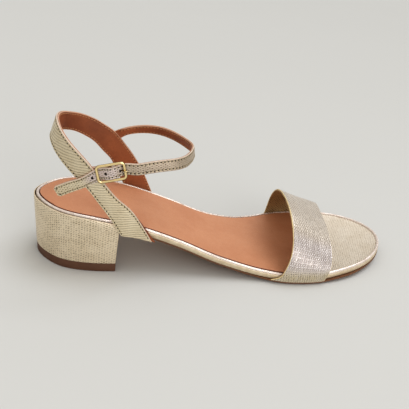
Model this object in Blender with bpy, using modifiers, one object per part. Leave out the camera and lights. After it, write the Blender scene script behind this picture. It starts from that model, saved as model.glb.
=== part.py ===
"""A low block-heel sandal for the right foot: a vamp strap, a quarter strap and a buckled ankle strap.

Metres. X runs from heel to toe, Y to the inner side of the foot, Z up. The origin is on the floor, under the
middle of the heel.
"""

import math

import bmesh
import bpy
import numpy as np
from mathutils import Vector

# Sole
FOOTBED_LENGTH = 0.2400
BALL_WIDTH = 0.0832
FOOTBED_BACK = 0.0237
HEEL_RISE_HEIGHT = 0.0345
TOE_SPRING_HEIGHT = 0.0043
FOOTBED_THICKNESS = 0.0046
OUTSOLE_THICKNESS = 0.0017
CLEARANCE = 0.0003

# Footbed's rim and the sock let into it
RIM_WIDTH = 0.0026
RIM_ROUND = 0.0009
RECESS_DEPTH = 0.0013
RECESS_LEAN = 0.0001
SOCK_THICKNESS = 0.0009
SOCK_LENGTH = 0.1800
SOCK_BEVEL = 0.0003

# Heel
BREAST_FORWARD = 0.0252
BREAST_SLANT = 0.0016
CUP_WALL = 0.0010
CUP_DROP = 0.0011
CUP_CUT_PAST = 0.0080
HEEL_TAPER = 0.0010
TOP_PIECE_THICKNESS = 0.0060
TOP_PIECE_INSET = 0.0002
EDGE_ROUND = 0.0006

# Vamp strap
VAMP_THICKNESS = 0.0016
VAMP_WIDTH = 0.0322
VAMP_FROM_TOE = 0.0785
VAMP_CROWN_REAR = 0.0335
VAMP_CROWN_FRONT = 0.0162
VAMP_FULLNESS = 2.15
VAMP_WALL_SHARE = 0.07

# Quarter strap
QUARTER_THICKNESS = 0.0020
LOOP_HEIGHT = 0.0900
LOOP_MIDDLE = 0.0220
LOOP_RADIUS_LOW = 0.0495
LOOP_RADIUS_HIGH = 0.0324
QUARTER_SETTLE = 0.0120

# Ankle strap and buckle
ANKLE_WIDTH = 0.0068
ANKLE_THICKNESS = 0.0016
ANKLE_LOOP_LENGTH = 0.0509
ANKLE_OUTSET = 0.00095
BUCKLE_BEHIND = 0.0021
BUCKLE_OUTSET = 0.0021
BUCKLE_RISE = 0.6710
BUCKLE_TILT = math.radians(13)
BUCKLE_WIRE = 0.0014
BUCKLE_LENGTH = 0.0156
BUCKLE_CORNER = 0.0018
STRAP_SIDE_GAP = 0.0009
BAR_WIRE = 0.0010
BAR_DROP = 0.0023
STRAP_BULGE = 0.0002
STRAP_HUG = 1.5
PRONG_WIRE = 0.0008
PRONG_GAP = 0.0002
PRONG_EYE_START = math.radians(20)
PRONG_EYE_END = math.radians(270)
PRONG_HOLE_FORWARD = 0.0050
PRONG_HOLE_LENGTH = 0.0030
PRONG_HOLE_WIDTH = 0.0016
PRONG_HOLE_DEPTH = 0.0070
TAB_WIDTH = 0.0070
TAB_THICKNESS = 0.0007
TAB_SLOT_FORWARD = 0.0003
TAB_SLOT_LENGTH = 0.0040
TAB_SLOT_WIDTH = 0.0020
TAB_SLOT_DEPTH = 0.0041

# What follows from the sizes above
VAMP_FORWARD = FOOTBED_LENGTH - FOOTBED_BACK - VAMP_FROM_TOE
SOLE_THICKNESS = FOOTBED_THICKNESS + CLEARANCE + OUTSOLE_THICKNESS
CUP_OUTSET = CLEARANCE + CUP_WALL
BUCKLE_HALF_HEIGHT = ANKLE_WIDTH / 2 + STRAP_SIDE_GAP + BUCKLE_WIRE / 2
BUCKLE_FORWARD = LOOP_MIDDLE - BUCKLE_BEHIND
STRAP_DROP = BUCKLE_WIRE / 2 + CLEARANCE + ANKLE_THICKNESS / 2

# Steps of the meshes
SOLE_STEPS = 40
HEEL_STEPS = 14
HEEL_LEVELS = 3
STRAP_STEPS = 46
STRAP_ACROSS = 3
VAMP_AROUND = 30
VAMP_ACROSS = 6
ANKLE_STEPS = 92
BUCKLE_STEPS = 4
CORNER_STEPS = 5
PRONG_EYE_STEPS = 10
WIRE_RESOLUTION = 2
WELD = 1e-6
SMALL_TURN = 1e-4
SMALL_SHARE = 1e-4
SHARP_ANGLE = math.radians(35)

# Share of the length, middle line and fullness. The last two are shares of the ball's width.
FOOTBED_OUTLINE = (
    (0.00, 0.000, 0.500),
    (0.05, -0.004, 0.545),
    (0.10, -0.003, 0.516),
    (0.16, -0.002, 0.461),
    (0.24, -0.006, 0.394),
    (0.32, -0.019, 0.357),
    (0.40, -0.040, 0.348),
    (0.50, -0.060, 0.366),
    (0.60, -0.048, 0.437),
    (0.66, -0.029, 0.500),
    (0.72, -0.007, 0.557),
    (0.78, 0.011, 0.597),
    (0.84, 0.027, 0.627),
    (0.90, 0.041, 0.655),
    (0.95, 0.052, 0.672),
    (1.00, 0.062, 0.668),
)

# Share of the length, share of the heel's rise, share of the toe spring
FOOTBED_TOP_LINE = (
    (0.00, 1.000, 0.00),
    (0.12, 0.935, 0.00),
    (0.24, 0.777, 0.00),
    (0.36, 0.517, 0.00),
    (0.48, 0.212, 0.00),
    (0.60, 0.030, 0.00),
    (0.66, 0.000, 0.00),
    (0.74, 0.000, 0.00),
    (0.80, 0.000, 0.24),
    (0.90, 0.000, 0.55),
    (1.00, 0.000, 1.00),
)

# Share of the length, how far the outsole stands out past the footbed as a share of the vamp's thickness
OUTSOLE_EDGE = (
    (0.00, -0.25),
    (0.42, -0.25),
    (0.56, 0.10),
    (0.64, 0.85),
    (0.84, 0.85),
    (0.92, 0.25),
    (1.00, 0.15),
)

# Share of the way round the foot, rear edge and front edge. The last two are shares of the strap's width.
VAMP_PATTERN = (
    (0.00, -0.366, -0.342),
    (0.07, -0.258, -0.280),
    (0.16, -0.149, -0.217),
    (0.29, -0.084, -0.140),
    (0.40, -0.046, -0.066),
    (0.50, 0.000, 0.000),
    (0.61, 0.058, 0.098),
    (0.72, 0.108, 0.195),
    (0.84, 0.132, 0.275),
    (0.93, 0.105, 0.315),
    (1.00, 0.020, 0.345),
)

# Quarter strap from its outer root round to its inner root. Upper edge, then lower edge: turn as a share of a
# quarter turn from the back, and height as a share of the way from the sole's underside to the loop's top.
QUARTER_PATTERN = (
    (-1.310, 0.000, -1.066, 0.000),
    (-1.163, 0.268, -0.960, 0.197),
    (-1.047, 0.381, -0.868, 0.328),
    (-0.940, 0.504, -0.780, 0.436),
    (-0.812, 0.652, -0.662, 0.528),
    (-0.670, 0.772, -0.522, 0.618),
    (-0.455, 0.886, -0.312, 0.716),
    (-0.205, 0.974, -0.125, 0.764),
    (0.000, 0.995, 0.050, 0.772),
    (0.205, 0.978, 0.200, 0.762),
    (0.405, 0.932, 0.360, 0.735),
    (0.605, 0.878, 0.550, 0.684),
    (0.805, 0.800, 0.722, 0.600),
    (0.920, 0.736, 0.832, 0.522),
    (1.036, 0.664, 0.920, 0.427),
    (1.136, 0.553, 1.000, 0.340),
    (1.228, 0.437, 1.057, 0.220),
    (1.326, 0.245, 1.108, 0.110),
    (1.405, 0.000, 1.164, 0.000),
)

# Ankle strap in front of the buckle: forward and lift as shares of its reach, with side between them as a
# share of its half width, and the inward lean of its upper edge in degrees
ANKLE_LOOP = (
    (0.251, -1.006, 0.039, 4.0),
    (0.434, -0.988, 0.065, 8.0),
    (0.598, -0.925, 0.077, 12.0),
    (0.776, -0.797, 0.076, 14.0),
    (0.885, -0.581, 0.065, 12.0),
    (0.968, -0.281, 0.057, 10.0),
    (0.997, 0.031, 0.047, 10.0),
    (0.930, 0.322, 0.049, 12.0),
    (0.830, 0.562, 0.059, 15.0),
    (0.700, 0.748, 0.070, 18.0),
    (0.536, 0.870, 0.068, 23.0),
    (0.346, 0.930, 0.042, 27.0),
    (0.173, 0.945, -0.013, 25.0),
    (0.059, 0.962, -0.101, 16.0),
    (-0.052, 0.963, -0.223, 8.0),
)

# Strap's free end behind the buckle, in the same columns
ANKLE_TAIL = (
    (-0.587, -0.862, -0.311, 0.0),
    (-0.400, -0.905, -0.212, -4.0),
    (-0.240, -0.952, -0.117, -10.0),
)

# Tab round the centre bar, from its inner layer to its outer one: along the strap and out from the bar, both
# as shares of the buckle's length.
TAB_PATTERN = (
    (-0.720, -0.230),
    (-0.548, -0.193),
    (-0.342, -0.154),
    (-0.150, -0.110),
    (0.000, -0.073),
    (0.052, -0.052),
    (0.073, 0.000),
    (0.052, 0.052),
    (0.000, 0.073),
    (-0.150, -0.004),
    (-0.342, -0.096),
    (-0.548, -0.138),
    (-0.720, -0.175),
)

# Prong from its eye to its tip, in the same columns
PRONG_SHANK = (
    (0.105, -0.072),
    (0.230, -0.042),
    (0.330, 0.036),
    (0.415, 0.160),
    (0.490, 0.248),
    (0.570, 0.258),
)

# Centre bar from edge to edge: across as a share of the frame's half height, out as a share of the bar's drop
BAR_BEND = (
    (1.000, 0.0),
    (1.000, -0.6),
    (0.798, -1.0),
    (-0.798, -1.0),
    (-1.000, -0.6),
    (-1.000, 0.0),
)

ROUGHNESS = 0.45
GOLD_METALLIC = 0.85
COLOURS = {
    "outsole": (0.36, 0.19, 0.09),
    "footbed": (0.78, 0.70, 0.52),
    "sock": (0.66, 0.34, 0.19),
    "heel_block": (0.74, 0.66, 0.46),
    "heel_top_piece": (0.20, 0.10, 0.06),
    "vamp_strap": (0.80, 0.73, 0.60),
    "ankle_straps": (0.72, 0.65, 0.47),
    "buckle_frame": (0.90, 0.74, 0.38),
    "buckle_prong": (0.90, 0.74, 0.38),
}
NOT_METALLIC = ("outsole", "sock", "heel_top_piece")


def smooth_curve(rows, column):
    """The natural cubic spline of one column of a table over its first column."""
    at = np.array([row[0] for row in rows])
    value = np.array([row[column] for row in rows])
    step = np.diff(at)
    slope = np.diff(value) / step
    system = np.eye(len(at))
    right = np.zeros(len(at))
    for i in range(1, len(at) - 1):
        system[i, i - 1 : i + 2] = step[i - 1], 2 * (step[i - 1] + step[i]), step[i]
        right[i] = 6 * (slope[i] - slope[i - 1])
    bend = np.linalg.solve(system, right)

    def read(x):
        i = int(np.clip(np.searchsorted(at, x) - 1, 0, len(step) - 1))
        before = (at[i + 1] - x) / step[i]
        after = 1 - before
        curved = (before**3 - before) * bend[i] + (after**3 - after) * bend[i + 1]
        return float(before * value[i] + after * value[i + 1] + curved * step[i] ** 2 / 6)

    return read


def steady_curve(rows, column):
    """A curve through one column of a table that never swings past its rows, so level stretches stay flat."""
    at = np.array([row[0] for row in rows])
    value = np.array([row[column] for row in rows])
    step = np.diff(at)
    slope = np.diff(value) / step
    lean = np.zeros(len(at))
    lean[0], lean[-1] = slope[0], slope[-1]
    for i in range(1, len(at) - 1):
        if slope[i - 1] * slope[i] > 0:
            lean[i] = 2 / (1 / slope[i - 1] + 1 / slope[i])

    def read(x):
        i = int(np.clip(np.searchsorted(at, x) - 1, 0, len(step) - 1))
        t = float(np.clip((x - at[i]) / step[i], 0, 1))
        rise = value[i + 1] - value[i]
        start, end = lean[i] * step[i], lean[i + 1] * step[i]
        square = 3 * rise - 2 * start - end
        cube = start + end - 2 * rise
        return float(value[i] + t * start + t**2 * square + t**3 * cube)

    return read


MIDDLE = smooth_curve(FOOTBED_OUTLINE, 1)
FULLNESS = smooth_curve(FOOTBED_OUTLINE, 2)
RISE = steady_curve(FOOTBED_TOP_LINE, 1)
SPRING = steady_curve(FOOTBED_TOP_LINE, 2)
SOLE_OUTSET = steady_curve(OUTSOLE_EDGE, 1)


def share_of(x):
    return min(max((x + FOOTBED_BACK) / FOOTBED_LENGTH, 0.0), 1.0)


def turn_at(x):
    """The outline's turn, from 0 at the heel to pi at the toe, where it passes x."""
    return math.acos(1 - 2 * share_of(x))


def top_line(x):
    """Height of the footbed's rim above the floor."""
    share = share_of(x)
    return SOLE_THICKNESS + HEEL_RISE_HEIGHT * RISE(share) + TOE_SPRING_HEIGHT * SPRING(share)


def footbed_under(x):
    return top_line(x) - FOOTBED_THICKNESS


def sole_under(x):
    return top_line(x) - SOLE_THICKNESS


def outline_at(turn, side):
    """A point of the footbed's outline. Side is -1 on the foot's outer side and 1 on its inner side."""
    share = (1 - math.cos(turn)) / 2
    across = MIDDLE(share) + side * FULLNESS(share) * math.sin(turn)
    return Vector((FOOTBED_LENGTH * share - FOOTBED_BACK, BALL_WIDTH * across))


def edge_at(turn, side, outset):
    """The outline's point at this turn, moved outwards."""
    along = (outline_at(turn + SMALL_TURN, side) - outline_at(turn - SMALL_TURN, side)).normalized()
    return outline_at(turn, side) + outset * side * Vector((-along.y, along.x))


def side_at(x, side):
    """How far the footbed's edge stands from the middle plane where it passes x."""
    return outline_at(turn_at(x), side).y


def ring(turns, outset, height):
    """The two sides of a ring round part of the outline. Outset is a length or a function of the turn."""
    sides = []
    for side in (-1, 1):
        points = []
        for turn in turns:
            flat = edge_at(turn, side, outset(turn) if callable(outset) else outset)
            points.append(Vector((flat.x, flat.y, height(flat.x))))
        sides.append(points)
    return sides


def turns_between(start, end, steps):
    return [start + (end - start) * i / steps for i in range(steps + 1)]


def loft(name, rings, collection):
    """A closed solid through rings, each a pair of sides, capped by strips from side to side."""
    mesh = bmesh.new()
    rows = [[mesh.verts.new(point) for point in outer + inner[::-1]] for outer, inner in rings]
    count = len(rows[0])
    for low, high in zip(rows, rows[1:]):
        for i in range(count):
            j = (i + 1) % count
            mesh.faces.new((low[i], low[j], high[j], high[i]))
    for row in (rows[0], rows[-1]):
        for i in range(count // 2 - 1):
            mesh.faces.new((row[i], row[i + 1], row[count - 2 - i], row[count - 1 - i]))
    bmesh.ops.remove_doubles(mesh, verts=mesh.verts, dist=WELD)
    bmesh.ops.recalc_face_normals(mesh, faces=mesh.faces)
    return finish_mesh(name, mesh, collection)


def sheet(name, rows, thickness, collection):
    """A strap: a grid of points thickened evenly to both sides."""
    mesh = bmesh.new()
    grid = [[mesh.verts.new(point) for point in row] for row in rows]
    for near, far in zip(grid, grid[1:]):
        for i in range(len(near) - 1):
            mesh.faces.new((near[i], near[i + 1], far[i + 1], far[i]))
    obj = finish_mesh(name, mesh, collection)
    solid = obj.modifiers.new("thickness", "SOLIDIFY")
    solid.thickness = thickness
    solid.offset = 0
    solid.use_even_offset = True
    return obj


def finish_mesh(name, mesh, collection):
    data = bpy.data.meshes.new(name)
    mesh.to_mesh(data)
    mesh.free()
    data.shade_smooth()
    data.set_sharp_from_angle(angle=SHARP_ANGLE)
    obj = bpy.data.objects.new(name, data)
    collection.objects.link(obj)
    return obj


def wire(name, points, diameter, cyclic, collection):
    """A round wire along points, as a welded mesh."""
    curve = bpy.data.curves.new(name, "CURVE")
    curve.dimensions = "3D"
    curve.bevel_depth = diameter / 2
    curve.bevel_resolution = WIRE_RESOLUTION
    curve.use_fill_caps = True
    spline = curve.splines.new("POLY")
    spline.points.add(len(points) - 1)
    for place, point in zip(spline.points, points):
        place.co = (*point, 1)
    spline.use_cyclic_u = cyclic
    guide = bpy.data.objects.new(name + "_guide", curve)
    collection.objects.link(guide)
    graph = bpy.context.evaluated_depsgraph_get()
    data = bpy.data.meshes.new_from_object(guide.evaluated_get(graph))
    mesh = bmesh.new()
    mesh.from_mesh(data)
    bmesh.ops.remove_doubles(mesh, verts=mesh.verts, dist=WELD)
    bmesh.ops.recalc_face_normals(mesh, faces=mesh.faces)
    bpy.data.objects.remove(guide)
    bpy.data.meshes.remove(data)
    return finish_mesh(name, mesh, collection)


def combine(obj, other, operation):
    change = obj.modifiers.new(operation.lower() + "_" + other.name, "BOOLEAN")
    change.operation = operation
    change.solver = "EXACT"
    change.object = other
    other.hide_render = True
    other.display_type = "WIRE"


def make_footbed(parts):
    turns = turns_between(0, math.pi, SOLE_STEPS)
    profile = (
        (-RIM_ROUND / 3, -FOOTBED_THICKNESS),
        (0, RIM_ROUND / 2 - FOOTBED_THICKNESS),
        (0, -RIM_ROUND),
        (-RIM_ROUND / 3, -RIM_ROUND / 3),
        (-RIM_ROUND, 0),
        (RIM_ROUND / 2 - RIM_WIDTH, 0),
        (-RIM_WIDTH, -RIM_ROUND / 3),
        (-RIM_WIDTH - RECESS_LEAN, -RECESS_DEPTH),
    )
    rings = [ring(turns, outset, lambda x, drop=drop: top_line(x) + drop) for outset, drop in profile]
    loft("footbed", rings, parts)


def make_sock(parts):
    turns = turns_between(0, turn_at(SOCK_LENGTH - FOOTBED_BACK), SOLE_STEPS)
    edge = -(RIM_WIDTH + RECESS_LEAN + CLEARANCE)
    low = CLEARANCE - RECESS_DEPTH
    profile = (
        (edge, low),
        (edge, low + SOCK_THICKNESS - SOCK_BEVEL),
        (edge - SOCK_BEVEL, low + SOCK_THICKNESS),
    )
    rings = [ring(turns, outset, lambda x, drop=drop: top_line(x) + drop) for outset, drop in profile]
    loft("sock", rings, parts)


def make_outsole(parts):
    start = turn_at(BREAST_FORWARD + BREAST_SLANT + CLEARANCE)
    turns = turns_between(start, math.pi, SOLE_STEPS)
    bevel = CLEARANCE

    def outset(turn, inset=0.0):
        return VAMP_THICKNESS * SOLE_OUTSET((1 - math.cos(turn)) / 2) - inset

    rings = [
        ring(turns, lambda turn: outset(turn, bevel), sole_under),
        ring(turns, outset, lambda x: sole_under(x) + bevel),
        ring(turns, outset, lambda x: sole_under(x) + OUTSOLE_THICKNESS),
    ]
    loft("outsole", rings, parts)


def heel_turns(level):
    """Stations from the heel's back to its breast, which leans forward towards the top."""
    return turns_between(0, turn_at(BREAST_FORWARD + BREAST_SLANT * level), HEEL_STEPS)


def make_heel_block(parts, cutters):
    low = TOP_PIECE_THICKNESS + CLEARANCE
    rings = []
    for step in range(HEEL_LEVELS + 1):
        level = step / HEEL_LEVELS

        def height(x, level=level):
            return low + level * (top_line(x) - CUP_DROP - low)

        rings.append(ring(heel_turns(level), CUP_OUTSET - HEEL_TAPER * (1 - level), height))
    block = loft("heel_block", rings, parts)
    past_breast = turns_between(0, turn_at(BREAST_FORWARD + CUP_CUT_PAST), HEEL_STEPS)
    seat = [
        ring(past_breast, CLEARANCE, lambda x: footbed_under(x) - CLEARANCE),
        ring(past_breast, CLEARANCE, lambda x: top_line(x) + CUP_DROP),
    ]
    combine(block, loft("heel_seat_cutter", seat, cutters), "DIFFERENCE")


def make_top_piece(parts):
    outset = CUP_OUTSET - HEEL_TAPER - TOP_PIECE_INSET
    profile = (
        (outset - EDGE_ROUND, 0.0),
        (outset, EDGE_ROUND),
        (outset, TOP_PIECE_THICKNESS),
    )
    rings = [ring(heel_turns(0), out, lambda x, height=height: height) for out, height in profile]
    loft("heel_top_piece", rings, parts)


def make_vamp(parts):
    rear = smooth_curve(VAMP_PATTERN, 1)
    front = smooth_curve(VAMP_PATTERN, 2)
    outset = CLEARANCE + VAMP_THICKNESS / 2

    def point(around, across):
        shift = rear(around) * (1 - across) + (front(around) + 1) * across
        x = VAMP_FORWARD + VAMP_WIDTH * shift
        outer, inner = side_at(x, -1) - outset, side_at(x, 1) + outset
        crown = VAMP_CROWN_REAR + (VAMP_CROWN_FRONT - VAMP_CROWN_REAR) * across
        wall = VAMP_WALL_SHARE
        if around < wall or around > 1 - wall:
            up = min(around, 1 - around) / wall
            height = footbed_under(x) + up * FOOTBED_THICKNESS
            return Vector((x, outer if around < 0.5 else inner, height))
        angle = math.pi * (around - wall) / (1 - 2 * wall)
        power = 2 / VAMP_FULLNESS
        swing = math.copysign(abs(math.cos(angle)) ** power, math.cos(angle))
        height = top_line(x) + crown * math.sin(angle) ** power
        return Vector((x, (outer + inner) / 2 - (inner - outer) / 2 * swing, height))

    rows = []
    for i in range(VAMP_AROUND + 1):
        around = i / VAMP_AROUND
        rows.append([point(around, j / VAMP_ACROSS) for j in range(VAMP_ACROSS + 1)])
    sheet("vamp_strap", rows, VAMP_THICKNESS, parts)


def quarter_side(x, side):
    """The quarter strap's middle surface beside the sole: over the heel's cup, then against the footbed."""
    past_cup = min(max((x - BREAST_FORWARD - BREAST_SLANT) / QUARTER_SETTLE, 0.0), 1.0)
    over_cup = CUP_OUTSET * (1 - past_cup * past_cup * (3 - 2 * past_cup))
    return side_at(x, side) + side * (over_cup + CLEARANCE + QUARTER_THICKNESS / 2)


ANKLE_HALF_WIDTH = (quarter_side(LOOP_MIDDLE, 1) - quarter_side(LOOP_MIDDLE, -1)) / 2 + ANKLE_OUTSET
BUCKLE_SIDE = quarter_side(LOOP_MIDDLE, -1) - BUCKLE_OUTSET
BUCKLE_HEIGHT = sole_under(BUCKLE_FORWARD) * (1 - BUCKLE_RISE) + LOOP_HEIGHT * BUCKLE_RISE


def quarter_point(turn, rise):
    """A point of the surface that the quarter strap lies in: round the heel, leaning forward as it rises."""
    reach = LOOP_RADIUS_LOW + (LOOP_RADIUS_HIGH - LOOP_RADIUS_LOW) * rise
    side = 1 if turn > 0 else -1
    angle = abs(turn) * math.pi / 2
    if abs(turn) <= 1:
        x = LOOP_MIDDLE - reach * math.cos(angle)
        y = quarter_side(LOOP_MIDDLE, side) * math.sin(angle)
    else:
        x = LOOP_MIDDLE + reach * (angle - math.pi / 2)
        y = quarter_side(x, side)
    return Vector((x, y, sole_under(x) * (1 - rise) + LOOP_HEIGHT * rise))


def make_quarter(parts):
    last = len(QUARTER_PATTERN) - 1
    rows = [(i / last, *row) for i, row in enumerate(QUARTER_PATTERN)]
    upper_turn, upper_rise, lower_turn, lower_rise = (smooth_curve(rows, column) for column in (1, 2, 3, 4))
    grid = []
    for i in range(STRAP_STEPS + 1):
        at = i / STRAP_STEPS
        line = []
        for j in range(STRAP_ACROSS + 1):
            up = j / STRAP_ACROSS
            turn = lower_turn(at) + (upper_turn(at) - lower_turn(at)) * up
            rise = lower_rise(at) + (upper_rise(at) - lower_rise(at)) * up
            line.append(quarter_point(turn, rise))
        grid.append(line)
    return sheet("ankle_straps", grid, QUARTER_THICKNESS, parts)


def buckle_point(along, out, across=0.0):
    """A point in the buckle's own directions: along the strap, out from the foot and across the strap."""
    x = BUCKLE_FORWARD + along * math.cos(BUCKLE_TILT) - across * math.sin(BUCKLE_TILT)
    z = BUCKLE_HEIGHT + along * math.sin(BUCKLE_TILT) + across * math.cos(BUCKLE_TILT)
    return Vector((x, BUCKLE_SIDE - out, z))


def bar_point(along, out, across=0.0):
    """A point seen from the centre bar, along and out from it as shares of the buckle's length."""
    return buckle_point(along * BUCKLE_LENGTH, out * BUCKLE_LENGTH - BAR_DROP, across)


def strap_out(along):
    """How far the ankle strap stands out from the frame's plane: over the centre bar and under the ends."""
    swing = (1 + math.cos(2 * math.pi * along / BUCKLE_LENGTH)) / 2
    return (STRAP_BULGE + STRAP_DROP) * swing**STRAP_HUG - STRAP_DROP


def loop_point(row):
    forward, side, lift = row[:3]
    x = BUCKLE_FORWARD + forward * ANKLE_LOOP_LENGTH
    return Vector((x, side * ANKLE_HALF_WIDTH, BUCKLE_HEIGHT + lift * ANKLE_LOOP_LENGTH))


def ankle_path():
    """Rows of the ankle strap's middle line from its free end to where the quarter strap holds it."""
    places = [(loop_point(row), row[3]) for row in ANKLE_TAIL]
    for step in range(-BUCKLE_STEPS, BUCKLE_STEPS + 1):
        along = step / BUCKLE_STEPS * BUCKLE_LENGTH / 2
        places.append((buckle_point(along, strap_out(along)), 0.0))
    places += [(loop_point(row), row[3]) for row in ANKLE_LOOP]
    rows = []
    run = 0.0
    before = places[0][0]
    for place, lean in places:
        run += (place - before).length
        rows.append((run, *place, lean))
        before = place
    return rows


def ribbon_rows(path, width, steps):
    """Rows across a ribbon that follows a path of points, with a lean in degrees in the last column."""
    curves = [smooth_curve(path, column) for column in range(1, 5)]
    end = path[-1][0]
    small = end * SMALL_SHARE
    grid = []
    for i in range(steps + 1):
        at = end * i / steps
        here = Vector([curve(at) for curve in curves[:3]])
        ahead = Vector([curve(at + small) for curve in curves[:3]])
        behind = Vector([curve(at - small) for curve in curves[:3]])
        along = (ahead - behind).normalized()
        inward = Vector((0, 0, 1)).cross(along).normalized()
        up = Vector((0, 0, 1)) + inward * math.tan(math.radians(curves[3](at)))
        across = along.cross(up).cross(along).normalized()
        grid.append([here + across * width * (j / STRAP_ACROSS - 0.5) for j in range(STRAP_ACROSS + 1)])
    return grid


def make_ankle_straps(parts, cutters):
    straps = make_quarter(parts)
    ankle_rows = ribbon_rows(ankle_path(), ANKLE_WIDTH, ANKLE_STEPS)
    ankle = sheet("ankle_strap", ankle_rows, ANKLE_THICKNESS, cutters)
    tab_rows = []
    for along, out in TAB_PATTERN:
        across = [TAB_WIDTH * (j / STRAP_ACROSS - 0.5) for j in range(STRAP_ACROSS + 1)]
        tab_rows.append([bar_point(along, out, v) for v in across])
    tab = sheet("buckle_tab", tab_rows, TAB_THICKNESS, cutters)
    combine(straps, ankle, "UNION")
    combine(straps, tab, "UNION")
    hole = (PRONG_HOLE_LENGTH, PRONG_HOLE_DEPTH, PRONG_HOLE_WIDTH)
    slot = (TAB_SLOT_LENGTH, TAB_SLOT_DEPTH, TAB_SLOT_WIDTH)
    for name, along, out, size in (
        ("prong_hole_cutter", PRONG_HOLE_FORWARD, 0.0, hole),
        ("tab_slot_cutter", TAB_SLOT_FORWARD, -BAR_DROP, slot),
    ):
        combine(straps, box_in_buckle(name, along, out, size, cutters), "DIFFERENCE")


def box_in_buckle(name, along, out, size, cutters):
    """A box in the buckle's directions, its size given along the strap, through it and across it."""
    bpy.ops.mesh.primitive_cube_add(size=1)
    box = bpy.context.object
    box.name = name
    box.data.name = name
    for vert in box.data.vertices:
        corner = vert.co
        vert.co = buckle_point(along + corner.x * size[0], out - corner.y * size[1], corner.z * size[2])
    for holder in box.users_collection:
        holder.objects.unlink(box)
    cutters.objects.link(box)
    return box


def make_buckle_frame(parts, cutters):
    half_length = BUCKLE_LENGTH / 2
    points = []
    for quarter, (sx, sy) in enumerate(((1, 1), (-1, 1), (-1, -1), (1, -1))):
        for step in range(CORNER_STEPS + 1):
            angle = math.pi / 2 * (quarter + step / CORNER_STEPS)
            along = sx * (half_length - BUCKLE_CORNER) + BUCKLE_CORNER * math.cos(angle)
            across = sy * (BUCKLE_HALF_HEIGHT - BUCKLE_CORNER) + BUCKLE_CORNER * math.sin(angle)
            points.append(buckle_point(along, 0, across))
    frame = wire("buckle_frame", points, BUCKLE_WIRE, True, parts)
    bar_points = [buckle_point(0, out * BAR_DROP, across * BUCKLE_HALF_HEIGHT) for across, out in BAR_BEND]
    combine(frame, wire("centre_bar", bar_points, BAR_WIRE, False, cutters), "UNION")


def make_prong(parts):
    radius = BAR_WIRE / 2 + PRONG_GAP + PRONG_WIRE / 2
    points = []
    for step in range(PRONG_EYE_STEPS + 1):
        angle = PRONG_EYE_START + (PRONG_EYE_END - PRONG_EYE_START) * step / PRONG_EYE_STEPS
        points.append(buckle_point(radius * math.cos(angle), radius * math.sin(angle) - BAR_DROP))
    points += [bar_point(along, out) for along, out in PRONG_SHANK]
    wire("buckle_prong", points, PRONG_WIRE, False, parts)


def give_material(obj):
    material = bpy.data.materials.new(obj.name)
    material.use_nodes = True
    shader = material.node_tree.nodes["Principled BSDF"]
    shader.inputs["Base Color"].default_value = (*COLOURS[obj.name], 1)
    shader.inputs["Metallic"].default_value = 0.0 if obj.name in NOT_METALLIC else GOLD_METALLIC
    shader.inputs["Roughness"].default_value = ROUGHNESS
    obj.data.materials.clear()
    obj.data.materials.append(material)


def main():
    for obj in list(bpy.data.objects):
        bpy.data.objects.remove(obj)
    parts = bpy.data.collections.new("block_heel_sandal")
    cutters = bpy.data.collections.new("cutters")
    for collection in (parts, cutters):
        bpy.context.scene.collection.children.link(collection)
    make_outsole(parts)
    make_footbed(parts)
    make_sock(parts)
    make_heel_block(parts, cutters)
    make_top_piece(parts)
    make_vamp(parts)
    make_ankle_straps(parts, cutters)
    make_buckle_frame(parts, cutters)
    make_prong(parts)
    for obj in parts.objects:
        give_material(obj)


main()
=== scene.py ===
"""The looks of a low block-heel sandal for the right foot.

Gold embossed leather, cognac lining and caramel sock. Metres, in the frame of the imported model: X from heel
to toe, Y to the inner side of the foot, Z up.
"""

import math

import bmesh
import bpy
import numpy as np
from mathutils import Matrix, Vector


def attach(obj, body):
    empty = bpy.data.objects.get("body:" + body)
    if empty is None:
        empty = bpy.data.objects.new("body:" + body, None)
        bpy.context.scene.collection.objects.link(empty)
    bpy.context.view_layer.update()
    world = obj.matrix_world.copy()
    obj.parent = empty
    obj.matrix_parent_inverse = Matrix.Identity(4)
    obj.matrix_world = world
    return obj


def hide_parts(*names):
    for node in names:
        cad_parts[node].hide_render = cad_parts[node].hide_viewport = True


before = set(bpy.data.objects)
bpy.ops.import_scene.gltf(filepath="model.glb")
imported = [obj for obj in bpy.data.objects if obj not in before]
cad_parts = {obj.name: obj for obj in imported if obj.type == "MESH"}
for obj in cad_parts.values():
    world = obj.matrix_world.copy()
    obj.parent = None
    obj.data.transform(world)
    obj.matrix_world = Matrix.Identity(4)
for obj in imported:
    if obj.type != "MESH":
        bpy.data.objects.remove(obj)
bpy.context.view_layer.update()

MM = 0.001
UP = np.array([0.0, 0.0, 1.0])

# Step on either side of a place where a slope is read, distance under which points are one, and the angle
# from which an edge is sharp
NUDGE = 1e-4
WELD = 1e-7
SHARP_ANGLE = math.radians(50)

# Sole
FOOTBED_LENGTH = 0.2400
BALL_WIDTH = 0.0832
FOOTBED_BACK = 0.0237
HEEL_RISE_HEIGHT = 0.0345
TOE_SPRING_HEIGHT = 0.0043
FOOTBED_THICKNESS = 0.0046
OUTSOLE_THICKNESS = 0.0017
CLEARANCE = 0.0003
SOLE_THICKNESS = FOOTBED_THICKNESS + CLEARANCE + OUTSOLE_THICKNESS

# Footbed's rim and the sock let into it
RIM_WIDTH = 0.0026
RECESS_DEPTH = 0.0013
SOCK_THICKNESS = 0.0009
SOCK_LENGTH = 0.1800
SOCK_FRONT_CURVE = 0.0030
SOCK_GAP = 0.0003
SOCK_BACK_GAP = 0.00002
SOCK_HIDDEN_END = 0.0050
SOCK_END_EDGE = 0.0001
SOCK_END_SLOPES = (1.5, 2.0)
SOCK_EDGE_SHARE = 0.25
SOCK_DARK_EDGE = 0.00058
SOCK_ROLL = 0.0006
SOCK_PUFF = 0.0003
SOCK_PUFF_REACH = 0.0120

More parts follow.
